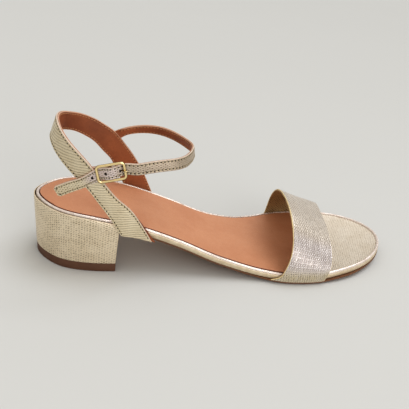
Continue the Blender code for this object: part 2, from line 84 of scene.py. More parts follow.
# Rim's bead in millimetres: its middle from the footbed's edge, half its width, and its height
RIM_MIDDLE = -1.05
RIM_HALF = 0.92
RIM_HEIGHT = 0.95

# Footbed below its rim and beside the sock: out from its edge and up from its top in millimetres, and zone
FOOTBED_WALL = (
    (-0.30, -4.60, 0),
    (0.00, -4.30, 0),
    (0.05, -3.00, 0),
    (0.05, -2.00, 0),
    (-0.04, -1.72, 0),
    (-0.22, -1.52, 0),
    (-0.14, -1.35, 1),
)
# Sock's recess beside the rim, in the same columns; it is painted dark as shade in the recess
FOOTBED_RECESS = ((-2.05, -1.15, 3), (-2.65, -1.30, 3))

# Outsole's edge from its tread up: inset in millimetres, and height as a share of its thickness
OUTSOLE_PROFILE = (
    (2.60, 0.00),
    (1.50, 0.06),
    (0.80, 0.18),
    (0.30, 0.34),
    (0.05, 0.48),
    (0.00, 0.60),
    (0.00, 0.85),
    (0.15, 1.00),
)

# Heel
BREAST_FORWARD = 0.0252
BREAST_SLANT = 0.0016
BREAST_ROUND = 0.0007
CUP_WALL = 0.0010
CUP_DROP = 0.0011
CUP_LIP_HEIGHT = 0.0003
HEEL_TAPER = 0.0010
TOP_PIECE_THICKNESS = 0.0060
TOP_PIECE_INSET = 0.0002
CUP_OUTSET = CLEARANCE + CUP_WALL

# Rounded lip of the heel's cup from its outer face inwards: inset and lift in millimetres. The bright edge
# takes the first bands, and the rest lies in the groove beside the footbed, painted dark as shade.
CUP_LIP = (
    (0.12, -0.14),
    (0.26, -0.03),
    (0.40, 0.00),
    (0.56, -0.06),
    (0.66, -0.30),
    (0.78, -0.70),
    (1.00, -1.20),
    (1.00, -3.00),
)
CUP_LIP_BANDS = 4

# Top piece from the floor up: inset and height in millimetres
TOP_PIECE_PROFILE = ((0.7, 0.0), (0.3, 0.1), (0.08, 0.35), (0.0, 0.8), (0.0, 5.7), (0.12, 5.95), (0.4, 6.0))

# Vamp strap. A leather is as thick as the strap looks, and a thickness is the solid's. The middle is a place
# that the outer face looks away from.
VAMP_LEATHER = 0.0012
VAMP_THICKNESS = 0.0016
VAMP_WIDTH = 0.0322
VAMP_FORWARD = 0.1378
VAMP_MIDDLE = 0.1500
VAMP_CROWN_REAR = 0.0335
VAMP_CROWN_FRONT = 0.0162
VAMP_FULLNESS = 2.15
VAMP_WALL_SHARE = 0.07
VAMP_ROOT_FLARE = 0.10

# Free edge of the lining at the quarter strap's outer root: thickness, how far it stands out and where it
# starts as shares of the strap's width, how far it runs as a share of its length, and how far it lies behind
ROOT_LEATHER = 0.0007
ROOT_LINING = 0.0019 / 0.0170
ROOT_LINING_FROM = 0.9
ROOT_LINING_SHARE = 0.045
ROOT_LINING_DEPTH = 0.00045

# Quarter strap
QUARTER_LEATHER = 0.0018
QUARTER_CROWN = 0.0001
QUARTER_SEAM_END = 0.006
LOOP_CENTRE_HEIGHT = 0.0500
QUARTER_THICKNESS = 0.0020
LOOP_HEIGHT = 0.0900
LOOP_MIDDLE = 0.0220
LOOP_RADIUS_LOW = 0.0495
LOOP_RADIUS_HIGH = 0.0324
QUARTER_SETTLE = 0.0120

# Ankle strap and buckle
ANKLE_WIDTH = 0.0068
ANKLE_THICKNESS = 0.0016
ANKLE_LEATHER = 0.0014
ANKLE_CROWN = 0.00008
ANKLE_LOOP_LENGTH = 0.0509
ANKLE_OUTSET = 0.00095
BUCKLE_BEHIND = 0.0021
BUCKLE_OUTSET = 0.0021
BUCKLE_RISE = 0.6710
BUCKLE_TILT = math.radians(13)
BUCKLE_WIRE = 0.0014
BUCKLE_LENGTH = 0.0156
BUCKLE_CORNER = 0.0018
STRAP_SIDE_GAP = 0.0009
BAR_WIRE = 0.0010
BAR_DROP = 0.0023
STRAP_BULGE = 0.0002
STRAP_HUG = 1.5
STRAP_SPREAD = 0.07
STRAP_SPREAD_REACH = 0.0074
PRONG_WIRE = 0.0009
PRONG_GAP = 0.0001
PRONG_EYE_START = math.radians(20)
PRONG_EYE_END = math.radians(270)
TAB_WIDTH = 0.0060
TAB_THICKNESS = 0.0007
TAB_MIDDLE = (-0.2, -0.1)
STRAP_HOLES = (0.0050, -0.0029, -0.0112)
STRAP_HOLE_WIDTH = 0.0018
STRAP_HOLE_LIFT = 0.00007
TAIL_CORNER = 0.0013
TAIL_BEVEL = 0.30
TAIL_SAG = 0.0010
TAIL_SAG_BEHIND = 0.0102
TAIL_SAG_REACH = 0.0032
ANKLE_END_THIN = 0.5
ANKLE_ENTERS = 0.895
ANKLE_SETTLE = 0.04
ANKLE_THINNING = 0.03
ANKLE_SEAM_END = 0.915
TAIL_SEAM_START = 1.6
TAIL_SEAM_ACROSS = (0.27, 0.73)
HOLE_NUDGE = 0.002
BUCKLE_HALF_HEIGHT = ANKLE_WIDTH / 2 + STRAP_SIDE_GAP + BUCKLE_WIRE / 2
BUCKLE_FORWARD = LOOP_MIDDLE - BUCKLE_BEHIND
STRAP_DROP = BUCKLE_WIRE / 2 + CLEARANCE + ANKLE_THICKNESS / 2

# Width of the frame's flattened wire, whose outer edge is where the solid's round one is
FRAME_WIDTH = 0.0017

# Strap's edges: how far the pale edge may reach as a share of half the thickness, where the face begins, and
# how deep the line between the leathers lies
EDGE_LIMIT = 0.6
FACE_INSET = 0.0018
SEAM_DEPTH = 0.00012

# Stitching. A needle hole is longer than it is wide by the stretch, and smaller in the lining by the share.
STITCH_PITCH = 0.0022
TAIL_STITCH_PITCH = 0.0015
STITCH_INSET = 0.0012
STITCH_GROOVE = 0.00012
THREAD_WIDTH = 0.00042
THREAD_LIFT = 0.00016
NEEDLE_HOLE = 0.00078
LINING_HOLE_SHARE = 0.6
HOLE_STRETCH = 1.35

# Hole's middle, and its rings from the middle out: share of its width. Heights are in millimetres.
PIT_MIDDLE = 0.05
PIT_RINGS = ((0.7, 0.04), (1.0, -0.02), (0.8, -0.2))

# Across a stitch line in millimetres, and the groove's depth there as a share
STITCH_DIP = ((-0.42, 0.0), (-0.2, 0.6), (0.0, 1.0), (0.2, 0.6), (0.42, 0.0))

# Studio. The room's strength is the sum of two ramps over a direction's height: from, to, start and end.
FLOOR_HALF = 40.0
ROOM_RAMPS = ((0.0, 0.8, 0.08, 0.76), (0.0, 0.32, 0.46, 0.0))
ROOM_TONE = (1.0, 0.97, 0.92, 1.0)
LAMP_FROM = Vector((0.37, 0.17, 0.90))
LAMP_ANGLE = math.radians(38)
LAMP_POWER = 0.95
LAMP_TONE = (0.97, 1.0, 1.06)
PANEL_PLACE = Vector((0.65, -1.35, 0.55))
PANEL_AIM = Vector((0.08, 0.0, 0.03))
PANEL_WIDTH = 1.3
PANEL_HEIGHT = 0.9
PANEL_SPREAD = math.radians(100)
PANEL_POWER = 2.3
PANEL_TONE = (1.0, 0.985, 0.985)

# Steps of the meshes
SOLE_STEPS = 170
SOCK_STEPS = 150
SOCK_COLUMNS = 37
HEEL_STEPS = 90
HEEL_LEVELS = 10
HEEL_COUNT = 420
BREAST_STEPS = 16
CORNER_STEPS = 6
WIDTH_STEPS = 9
SEAM_STEPS = 900
QUARTER_STEPS = 300
QUARTER_FACE_STEPS = 14
ROOT_LINING_STEPS = 24
ANKLE_STEPS = 420
ANKLE_FACE_STEPS = 6
VAMP_STEPS = 200
VAMP_FACE_STEPS = 24
TAB_STEPS = 60
TAB_FACE_STEPS = 4
WIRE_STEPS = 40
WIRE_SIDES = 24
FRAME_CORNER_STEPS = 13
FRAME_COUNT = 160
PRONG_EYE_STEPS = 24
BUCKLE_STEPS = 4

# Millimetres of the pattern from one soft streak to the next
STREAK_SCALE = 1.3

# Finishes of a strap of two leathers after its face's: edge, lining, line between them and lining's edge
STRAP_LOOKS = ("strap_edge", "lining", "seam_line", "lining_edge")

# Materials by the names of their finishes, put here as they are built
LOOKS = {}

# Share of the length, and the middle line and fullness as shares of the ball's width
FOOTBED_OUTLINE = (
    (0.00, 0.000, 0.500),
    (0.05, -0.004, 0.545),
    (0.10, -0.003, 0.516),
    (0.16, -0.002, 0.461),
    (0.24, -0.006, 0.394),
    (0.32, -0.019, 0.357),
    (0.40, -0.040, 0.348),
    (0.50, -0.060, 0.366),
    (0.60, -0.048, 0.437),
    (0.66, -0.029, 0.500),
    (0.72, -0.007, 0.557),
    (0.78, 0.011, 0.597),
    (0.84, 0.027, 0.627),
    (0.90, 0.041, 0.655),
    (0.95, 0.052, 0.672),
    (1.00, 0.062, 0.668),
)

# Share of the length, share of the heel's rise, share of the toe spring
FOOTBED_TOP_LINE = (
    (0.00, 1.000, 0.00),
    (0.12, 0.935, 0.00),
    (0.24, 0.777, 0.00),
    (0.36, 0.517, 0.00),
    (0.48, 0.212, 0.00),
    (0.60, 0.030, 0.00),
    (0.66, 0.000, 0.00),
    (0.74, 0.000, 0.00),
    (0.80, 0.000, 0.24),
    (0.90, 0.000, 0.55),
    (1.00, 0.000, 1.00),
)

# Share of the length, how far the outsole stands out past the footbed as a share of the vamp's thickness
OUTSOLE_EDGE = (
    (0.00, -0.25),
    (0.42, -0.25),
    (0.56, 0.10),
    (0.64, 0.85),
    (0.84, 0.85),
    (0.92, 0.25),
    (1.00, 0.15),
)

# Share of the way round the foot, rear edge and front edge, both as shares of the strap's width
VAMP_PATTERN = (
    (0.00, -0.366, -0.342),
    (0.07, -0.258, -0.280),
    (0.16, -0.149, -0.217),
    (0.29, -0.084, -0.140),
    (0.40, -0.046, -0.066),
    (0.50, 0.000, 0.000),
    (0.61, 0.058, 0.098),
    (0.72, 0.108, 0.195),
    (0.84, 0.132, 0.275),
    (0.93, 0.105, 0.315),
    (1.00, 0.020, 0.345),
)

# Quarter strap from its outer root round to its inner root. Upper edge, then lower edge: turn as a share of a
# quarter turn from the back, and height as a share of the way from the sole's underside to the loop's top.
QUARTER_PATTERN = (
    (-1.310, 0.000, -1.066, 0.000),
    (-1.163, 0.268, -0.960, 0.197),
    (-1.047, 0.381, -0.868, 0.328),
    (-0.940, 0.504, -0.780, 0.436),
    (-0.812, 0.652, -0.662, 0.528),
    (-0.670, 0.772, -0.522, 0.618),
    (-0.455, 0.886, -0.312, 0.716),
    (-0.205, 0.974, -0.125, 0.764),
    (0.000, 0.995, 0.050, 0.772),
    (0.205, 0.978, 0.200, 0.762),
    (0.405, 0.932, 0.360, 0.735),
    (0.605, 0.878, 0.550, 0.684),
    (0.805, 0.800, 0.722, 0.600),
    (0.920, 0.736, 0.832, 0.522),
    (1.036, 0.664, 0.920, 0.427),
    (1.136, 0.553, 1.000, 0.340),
    (1.228, 0.437, 1.057, 0.220),
    (1.326, 0.245, 1.108, 0.110),
    (1.405, 0.000, 1.164, 0.000),
)

# Ankle strap in front of the buckle: forward and lift as shares of its reach, with side as a share of half
# its loop's width between them, and the inward lean of its upper edge in degrees
ANKLE_LOOP = (
    (0.251, -1.006, 0.039, 4.0),
    (0.434, -0.988, 0.065, 8.0),
    (0.598, -0.925, 0.077, 12.0),
    (0.776, -0.797, 0.076, 14.0),
    (0.885, -0.581, 0.065, 12.0),
    (0.968, -0.281, 0.057, 10.0),
    (0.997, 0.031, 0.047, 10.0),
    (0.930, 0.322, 0.049, 12.0),
    (0.830, 0.562, 0.059, 15.0),
    (0.700, 0.748, 0.070, 18.0),
    (0.536, 0.870, 0.068, 23.0),
    (0.346, 0.930, 0.042, 27.0),
    (0.173, 0.945, -0.013, 25.0),
    (0.059, 0.962, -0.101, 16.0),
    (-0.052, 0.963, -0.223, 8.0),
)

# Strap's free end behind the buckle, in the same columns
ANKLE_TAIL = (
    (-0.587, -0.862, -0.311, 0.0),
    (-0.400, -0.905, -0.212, -4.0),
    (-0.240, -0.952, -0.117, -10.0),
)

# Soft creases across the ankle strap: metres ahead of the centre bar, depth in millimetres, reach in metres
ANKLE_CREASES = (
    (-0.0162, 0.10, 0.0016),
    (-0.0060, 0.12, 0.0015),
    (0.0105, 0.14, 0.0016),
    (0.0180, 0.06, 0.0020),
    (0.0430, 0.12, 0.0022),
    (0.0520, 0.14, 0.0020),
    (0.0610, 0.10, 0.0024),
)

# Tab round the centre bar, from its inner layer to its outer one: along the strap and out from the bar. Both
# are shares of the buckle's length.
TAB_PATTERN = (
    (-0.720, -0.230),
    (-0.548, -0.193),
    (-0.342, -0.154),
    (-0.150, -0.110),
    (0.000, -0.073),
    (0.052, -0.052),
    (0.073, 0.000),
    (0.052, 0.052),
    (0.000, 0.073),
    (-0.150, -0.004),
    (-0.342, -0.096),
    (-0.548, -0.138),
    (-0.720, -0.175),
)

# Prong from its eye to its tip, in the same columns, with its width as a share of the wire's
PRONG_SHANK = (
    (0.105, -0.072, 1.0),
    (0.230, -0.042, 1.0),
    (0.330, 0.036, 1.0),
    (0.415, 0.160, 1.0),
    (0.490, 0.248, 0.9),
    (0.570, 0.258, 0.6),
)

# Centre bar from edge to edge: across as a share of half the frame's height, out as a share of the bar's drop
BAR_BEND = (
    (0.960, -0.1),
    (0.880, -0.6),
    (0.700, -1.0),
    (-0.700, -1.0),
    (-0.880, -0.6),
    (-0.960, -0.1),
)

# Camera that took the photograph, in degrees and pixels of a 409 pixel frame
PHOTO_CAMERA = Vector((0.0086, -0.3038, 0.1996))
PHOTO_YAW = 4.37
PHOTO_PITCH = 24.18
PHOTO_ROLL = 3.78
PHOTO_FOCAL = 500
PHOTO_SIZE = 409
CAMERA_AIM = Vector((0.083, 0.0, 0.0335))
CAMERA_CLOSER = 1.07
SENSOR_WIDTH = 36.0


def unit(vectors):
    return vectors / np.maximum(np.linalg.norm(vectors, axis=-1, keepdims=True), 1e-12)


def table_slopes(rows, column):
    """A table's first column, another one, the steps of the first, and the slopes between the rows."""
    at, value = np.array([(row[0], row[column]) for row in rows], float).T
    step = np.diff(at)
    return at, value, step, np.diff(value) / step


def smooth_curve(rows, column):
    """The natural cubic spline of one column of a table over its first column."""
    at, value, step, slope = table_slopes(rows, column)
    system = np.eye(len(at))
    right = np.zeros(len(at))
    for i in range(1, len(at) - 1):
        system[i, i - 1 : i + 2] = step[i - 1], 2 * (step[i - 1] + step[i]), step[i]
        right[i] = 6 * (slope[i] - slope[i - 1])
    bend = np.linalg.solve(system, right)

    def read(x):
        i = np.clip(np.searchsorted(at, x) - 1, 0, len(step) - 1)
        before = (at[i + 1] - x) / step[i]
        after = 1 - before
        curved = (before**3 - before) * bend[i] + (after**3 - after) * bend[i + 1]
        return before * value[i] + after * value[i + 1] + curved * step[i] ** 2 / 6

    return read


def steady_curve(rows, column):
    """A curve through one column of a table that never swings past its rows, so level stretches stay flat."""
    at, value, step, slope = table_slopes(rows, column)
    lean = np.zeros(len(at))
    lean[0], lean[-1] = slope[0], slope[-1]
    for i in range(1, len(at) - 1):
        if slope[i - 1] * slope[i] > 0:
            lean[i] = 2 / (1 / slope[i - 1] + 1 / slope[i])

    def read(x):
        i = np.clip(np.searchsorted(at, x) - 1, 0, len(step) - 1)
        t = np.clip((x - at[i]) / step[i], 0, 1)
        rise = value[i + 1] - value[i]
        start = lean[i] * step[i]
        end = lean[i + 1] * step[i]
        square = 3 * rise - 2 * start - end
        cube = start + end - 2 * rise
        return value[i] + t * start + t**2 * square + t**3 * cube

    return read


def row_curves(rows, curve):
    """Curves through every column of a table, over the number of the row."""
    numbered = [(i, *row) for i, row in enumerate(rows)]
    return [curve(numbered, column) for column in range(1, len(numbered[0]))]


def eased(share):
    """0 below 0, 1 above 1, and a smooth step between them."""
    share = np.clip(share, 0.0, 1.0)
    return share * share * (3 - 2 * share)


MIDDLE = smooth_curve(FOOTBED_OUTLINE, 1)
FULLNESS = smooth_curve(FOOTBED_OUTLINE, 2)
RISE = steady_curve(FOOTBED_TOP_LINE, 1)
SPRING = steady_curve(FOOTBED_TOP_LINE, 2)
SOLE_OUTSET = steady_curve(OUTSOLE_EDGE, 1)
VAMP_REAR = smooth_curve(VAMP_PATTERN, 1)
VAMP_FRONT = smooth_curve(VAMP_PATTERN, 2)
QUARTER_CURVES = row_curves(QUARTER_PATTERN, smooth_curve)


def share_of(x):
    return np.clip((x + FOOTBED_BACK) / FOOTBED_LENGTH, 0.0, 1.0)


def turn_at(x):
    """The outline's turn, from 0 at the heel to pi at the toe, where it passes x."""
    return np.arccos(1 - 2 * share_of(x))


def top_line(x):
    """Height of the footbed's rim above the floor."""
    share = share_of(x)
    return SOLE_THICKNESS + HEEL_RISE_HEIGHT * RISE(share) + TOE_SPRING_HEIGHT * SPRING(share)


def footbed_under(x):
    return top_line(x) - FOOTBED_THICKNESS


def sole_under(x):
    return top_line(x) - SOLE_THICKNESS


def outline_at(turn, side):
    """Points of the footbed's outline. Side is -1 on the foot's outer side and 1 on its inner side."""
    share = (1 - np.cos(turn)) / 2
    across = MIDDLE(share) + side * FULLNESS(share) * np.sin(turn)
    return np.stack([FOOTBED_LENGTH * share - FOOTBED_BACK, BALL_WIDTH * across], -1)


def edge_at(turn, side, outset):
    """The outline's points at these turns, moved outwards."""
    along = outline_at(turn + NUDGE, side) - outline_at(turn - NUDGE, side)
    along = unit(along)
    out = np.stack([-along[..., 1], along[..., 0]], -1) * side
    return outline_at(turn, side) + np.asarray(outset)[..., None] * out


def side_at(x, side):
    """How far the footbed's edge stands from the middle plane where it passes x."""
    return outline_at(turn_at(x), side)[..., 1]


def quarter_side(x, side):
    """The quarter strap's middle surface beside the sole: over the heel's cup, then against the footbed."""
    over_cup = CUP_OUTSET * (1 - eased((x - BREAST_FORWARD - BREAST_SLANT) / QUARTER_SETTLE))
    return side_at(x, side) + side * (over_cup + CLEARANCE + QUARTER_THICKNESS / 2)


HALF_LOOP = (quarter_side(LOOP_MIDDLE, 1) - quarter_side(LOOP_MIDDLE, -1)) / 2
ANKLE_HALF_WIDTH = HALF_LOOP + ANKLE_OUTSET
BUCKLE_SIDE = quarter_side(LOOP_MIDDLE, -1) - BUCKLE_OUTSET
BUCKLE_HEIGHT = sole_under(BUCKLE_FORWARD) * (1 - BUCKLE_RISE) + LOOP_HEIGHT * BUCKLE_RISE


def quarter_point(turn, rise):
    """Points of the surface that the quarter strap lies in: round the heel, leaning forward as it rises."""
    reach = LOOP_RADIUS_LOW + (LOOP_RADIUS_HIGH - LOOP_RADIUS_LOW) * rise
    side = np.where(turn > 0, 1, -1)
    angle = np.abs(turn) * math.pi / 2
    behind = np.abs(turn) <= 1
    x = np.where(behind, LOOP_MIDDLE - reach * np.cos(angle), LOOP_MIDDLE + reach * (angle - math.pi / 2))
    y_behind = quarter_side(np.full_like(x, LOOP_MIDDLE), side) * np.sin(angle)
    y = np.where(behind, y_behind, quarter_side(x, side))
    return np.stack([x, y, sole_under(x) * (1 - rise) + LOOP_HEIGHT * rise], -1)


def quarter_surface(at, across):
    """The quarter strap's middle surface. At runs from its outer to its inner root, across up its width."""
    row = at * (len(QUARTER_PATTERN) - 1)
    upper_turn, upper_rise, lower_turn, lower_rise = (curve(row) for curve in QUARTER_CURVES)
    turn = lower_turn + (upper_turn - lower_turn) * across
    return quarter_point(turn, lower_rise + (upper_rise - lower_rise) * across)


def vamp_surface(around, across):
    """The vamp strap's middle surface. Around runs over the foot from its outer side, across to the toe."""
    outset = CLEARANCE + VAMP_THICKNESS / 2
    shift = VAMP_REAR(around) * (1 - across) + (VAMP_FRONT(around) + 1) * across
    flare = np.clip(1 - around / VAMP_WALL_SHARE, 0, 1) ** 3 * (1 - across) ** 3
    x = VAMP_FORWARD + VAMP_WIDTH * (shift - VAMP_ROOT_FLARE * flare)
    outer = side_at(x, -1) - outset
    inner = side_at(x, 1) + outset
    crown = VAMP_CROWN_REAR + (VAMP_CROWN_FRONT - VAMP_CROWN_REAR) * across
    wall = VAMP_WALL_SHARE
    up = np.clip(np.minimum(around, 1 - around) / wall, 0, 1)
    angle = math.pi * np.clip((around - wall) / (1 - 2 * wall), 0, 1)
    power = 2 / VAMP_FULLNESS
    swing = np.sign(np.cos(angle)) * np.abs(np.cos(angle)) ** power
    arch = top_line(x) + crown * np.abs(np.sin(angle)) ** power
    low = footbed_under(x) + up * FOOTBED_THICKNESS
    z = np.where(up < 1, low, arch)
    y = (outer + inner) / 2 - (inner - outer) / 2 * swing
    return np.stack([x, y, z], -1)


def buckle_point(along, out, across=0.0):
    """Points in the buckle's own directions: along the strap, out from the foot and across the strap."""
    along, out, across = np.broadcast_arrays(along, out, across)
    x = BUCKLE_FORWARD + along * math.cos(BUCKLE_TILT) - across * math.sin(BUCKLE_TILT)
    z = BUCKLE_HEIGHT + along * math.sin(BUCKLE_TILT) + across * math.cos(BUCKLE_TILT)
    return np.stack([x, BUCKLE_SIDE - out, z], -1)


def bar_point(along, out, across=0.0):
    """Points seen from the centre bar, along and out from it as shares of the buckle's length."""
    return buckle_point(np.asarray(along) * BUCKLE_LENGTH, np.asarray(out) * BUCKLE_LENGTH - BAR_DROP, across)


def strap_out(along):
    """How far the ankle strap stands out from the frame's plane: over the centre bar and under the ends."""
    swing = (1 + math.cos(2 * math.pi * along / BUCKLE_LENGTH)) / 2
    return (STRAP_BULGE + STRAP_DROP) * swing**STRAP_HUG - STRAP_DROP


def loop_point(row):
    forward, side, lift = row[:3]
    x = BUCKLE_FORWARD + forward * ANKLE_LOOP_LENGTH
    return np.array([x, side * ANKLE_HALF_WIDTH, BUCKLE_HEIGHT + lift * ANKLE_LOOP_LENGTH])


def ankle_path():
    """Rows of the ankle strap's middle line, from its free end to where the quarter strap holds it."""
    tail, loop = ([(*loop_point(row), row[3]) for row in rows] for rows in (ANKLE_TAIL, ANKLE_LOOP))
    held = []
    for along in np.linspace(-0.5, 0.5, 2 * BUCKLE_STEPS + 1) * BUCKLE_LENGTH:
        held.append((*buckle_point(along, strap_out(along)), 0.0))
    places = np.array(tail + held + loop)
    return np.column_stack([run_along(places[:, :3]), places])


def ribbon_surface(path, width):
    """The middle surface of a ribbon that follows a path, with a lean in degrees in the last column."""
    curves = [smooth_curve(path, column) for column in range(1, 5)]
    end = path[-1][0]

    def middle(run):
        return np.stack([curve(run) for curve in curves[:3]], -1)

    def read(at, across):
        run = at * end
        along = unit(middle(run + end * NUDGE) - middle(run - end * NUDGE))
        inward = unit(np.cross(UP, along))
        up = UP + inward * np.tan(np.radians(curves[3](run)))[..., None]
        side = unit(np.cross(np.cross(along, up), along))
        here_width = width * (1 - TAIL_BEVEL * np.clip(1 - run / TAIL_CORNER, 0, 1))
        return middle(run) + side * (here_width * (across - 0.5))[..., None]

    return read


def run_along(points):
    """Distances along a line of points."""
    return np.concatenate([[0], np.cumsum(np.linalg.norm(np.diff(points, axis=0), axis=1))])


def normals_of(surface, at, across, centre):
    """Normals of a surface at these places, turned away from a centre."""
    along = surface(np.clip(at + NUDGE, 0, 1), across) - surface(np.clip(at - NUDGE, 0, 1), across)
    over = surface(at, np.clip(across + NUDGE, 0, 1)) - surface(at, np.clip(across - NUDGE, 0, 1))
    normal = unit(np.cross(along, over))
    away = np.sum(normal * (surface(at, across) - centre), -1)
    return normal if np.mean(away) > 0 else -normal


def new_object(name, data):
    obj = bpy.data.objects.new(name, data)
    bpy.context.scene.collection.objects.link(obj)
    return obj


def add_mesh(name, points, faces, looks, uv=None, zones=None):
    """A smooth-shaded mesh with the finishes of these names. Uv holds one pair a point, in millimetres."""
    data = bpy.data.meshes.new(name)
    data.from_pydata(np.asarray(points, float).tolist(), [], [tuple(int(i) for i in face) for face in faces])
    data.validate()
    if uv is not None:
        layer = data.uv_layers.new(name="pattern")
        corner = np.zeros(len(data.loops), np.int32)
        data.loops.foreach_get("vertex_index", corner)
        layer.data.foreach_set("uv", np.asarray(uv, np.float32)[corner].ravel())
    for look in looks:
        data.materials.append(LOOKS[look])
    if zones is not None:
        data.polygons.foreach_set("material_index", np.asarray(zones, np.int32))
    data.shade_smooth()
    data.set_sharp_from_angle(angle=SHARP_ANGLE)
    return new_object(name, data)


def turn_out(obj, weld):
    """Faces pointing out of a closed mesh, after points closer than weld are made one."""
    mesh = bmesh.new()
    mesh.from_mesh(obj.data)
    if weld:
        bmesh.ops.remove_doubles(mesh, verts=mesh.verts, dist=weld)
    bmesh.ops.recalc_face_normals(mesh, faces=mesh.faces)
    mesh.to_mesh(obj.data)
    mesh.free()


def finished(obj, slot, *nodes):
    """Puts a piece on the shoe, and hides the solids that it stands for. Slot is not used."""
    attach(obj, "root")
    if nodes:
        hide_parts(*nodes)
    return obj


def closed_piece(name, points, faces, looks, slot, nodes=(), uv=None, zones=None, weld=0.0):
    obj = add_mesh(name, points, faces, looks, uv, zones)
    turn_out(obj, weld)
    return finished(obj, slot, *nodes)


def grid_faces(rows, columns, closed_columns=False, start=0):
    """Quads of a grid of points, row after row."""
    faces = []
    for i in range(rows - 1):
        low = start + i * columns
        for j in range(columns if closed_columns else columns - 1):
            k = (j + 1) % columns
            faces.append((low + j, low + k, low + columns + k, low + columns + j))
    return faces


def tube_faces(rings, count):
    """Faces through closed rings of points, with both ends closed."""
    last = (rings - 1) * count
    return grid_faces(rings, count, True) + [tuple(range(count))[::-1], tuple(range(last, last + count))]


def strap_profile(thickness, crown, middle_steps, edge=0.35, seam=0.10, low_edge=0):
    """The strap's cross-section as rows: share across, inset from that edge, offset outwards, zone.

    Zones are 0 for the outer face, 1 for its edge, 2 for the lining, 3 for the line between the two leathers
    and 4 for the lining's edge. Crown is how far the outer face bulges. Edge is how far the pale edge reaches
    in, and seam half the height of that line, both in millimetres. Low edge is the zone of the outer face's
    corner at share 0.
    """
    half = thickness / 2
    reach = min(edge * MM, half * EDGE_LIMIT)
    seam *= MM
    turn = np.radians([0, 25, 48, 70, 90])
    corner = [(reach * (1 - math.cos(a)), half - reach * (1 - math.sin(a))) for a in turn]
    groove = [(STITCH_INSET + shift * MM, half - dip * STITCH_GROOVE) for shift, dip in STITCH_DIP]
    near = [(0, b, w, low_edge) for b, w in corner[:-1]] + [(0, b, w, 0) for b, w in corner[-1:] + groove]
    face = []
    for t in np.linspace(0, 1, middle_steps + 1):
        face.append((t, FACE_INSET * (1 - 2 * t), half + crown * 4 * t * (1 - t), 0))
    far = [(1, -b, w, 0) for b, w in groove[::-1]] + [(1, -b, w, 1) for b, w in corner[::-1]]
    outer = near + face + far
    rows = outer + [(1, 0.0, w, zone) for w, zone in ((seam, 3), (0.0, 3), (-seam, 4))]
    zones = [4] * (len(corner) - 1) + [2] * (len(outer) - 2 * len(corner) + 1) + [4] * len(corner)
    rows += [(a, b, -w, zone) for (a, b, w, _), zone in zip(outer[::-1], zones)]
    return rows + [(0, SEAM_DEPTH * (w == 0), w, zone) for w, zone in ((-seam, 3), (0.0, 3), (seam, 1))]


def build_strap(
    name, surface, centre, steps, profile, looks, slot="ankle_straps", nodes=(), relief=None, pattern=None
):
    """Sweeps a cross-section along a strap's middle surface, with both ends closed.

    Relief gives, for shares along it, how thick the strap is there and how far it is pushed outwards.
    Pattern gives the emboss's own coordinates for points, in place of the distances along and across.
    """
    at = np.linspace(0, 1, steps + 1)
    width = strap_widths(surface, at)[:, None]
    share, inset, offset = np.array([row[:3] for row in profile]).T
    across = np.clip(share + inset / width, 0, 1)
    along = np.repeat(at[:, None], len(profile), 1)
    if relief:
        thick, push = relief(along)
        offset = offset * thick + push
    points = surface(along, across) + normals_of(surface, along, across, centre) * offset[..., None]
    if pattern:
        uv = pattern(points)
    else:
        run = run_along(surface(at, np.full_like(at, 0.5)))
        uv = np.stack([np.repeat(run[:, None], len(profile), 1), (across - 0.5) * width], -1)
    faces = tube_faces(steps + 1, len(profile))
    zones = [row[3] for row in profile] * steps + [1, 1]
    closed_piece(name, points.reshape(-1, 3), faces, looks, slot, nodes, uv.reshape(-1, 2) / MM, zones)


def strap_widths(surface, at):
    shares = np.repeat(np.linspace(0, 1, WIDTH_STEPS)[None, :], len(at), 0)
    line = surface(np.repeat(at[:, None], WIDTH_STEPS, 1), shares)
    return np.linalg.norm(np.diff(line, axis=1), axis=2).sum(1)


def colour(tone):
    """Scene-linear colour of an sRGB tone given from 0 to 255."""
    share = np.array(tone) / 255
    linear = np.where(share <= 0.04045, share / 12.92, ((share + 0.055) / 1.055) ** 2.4)
    return (*linear.tolist(), 1.0)


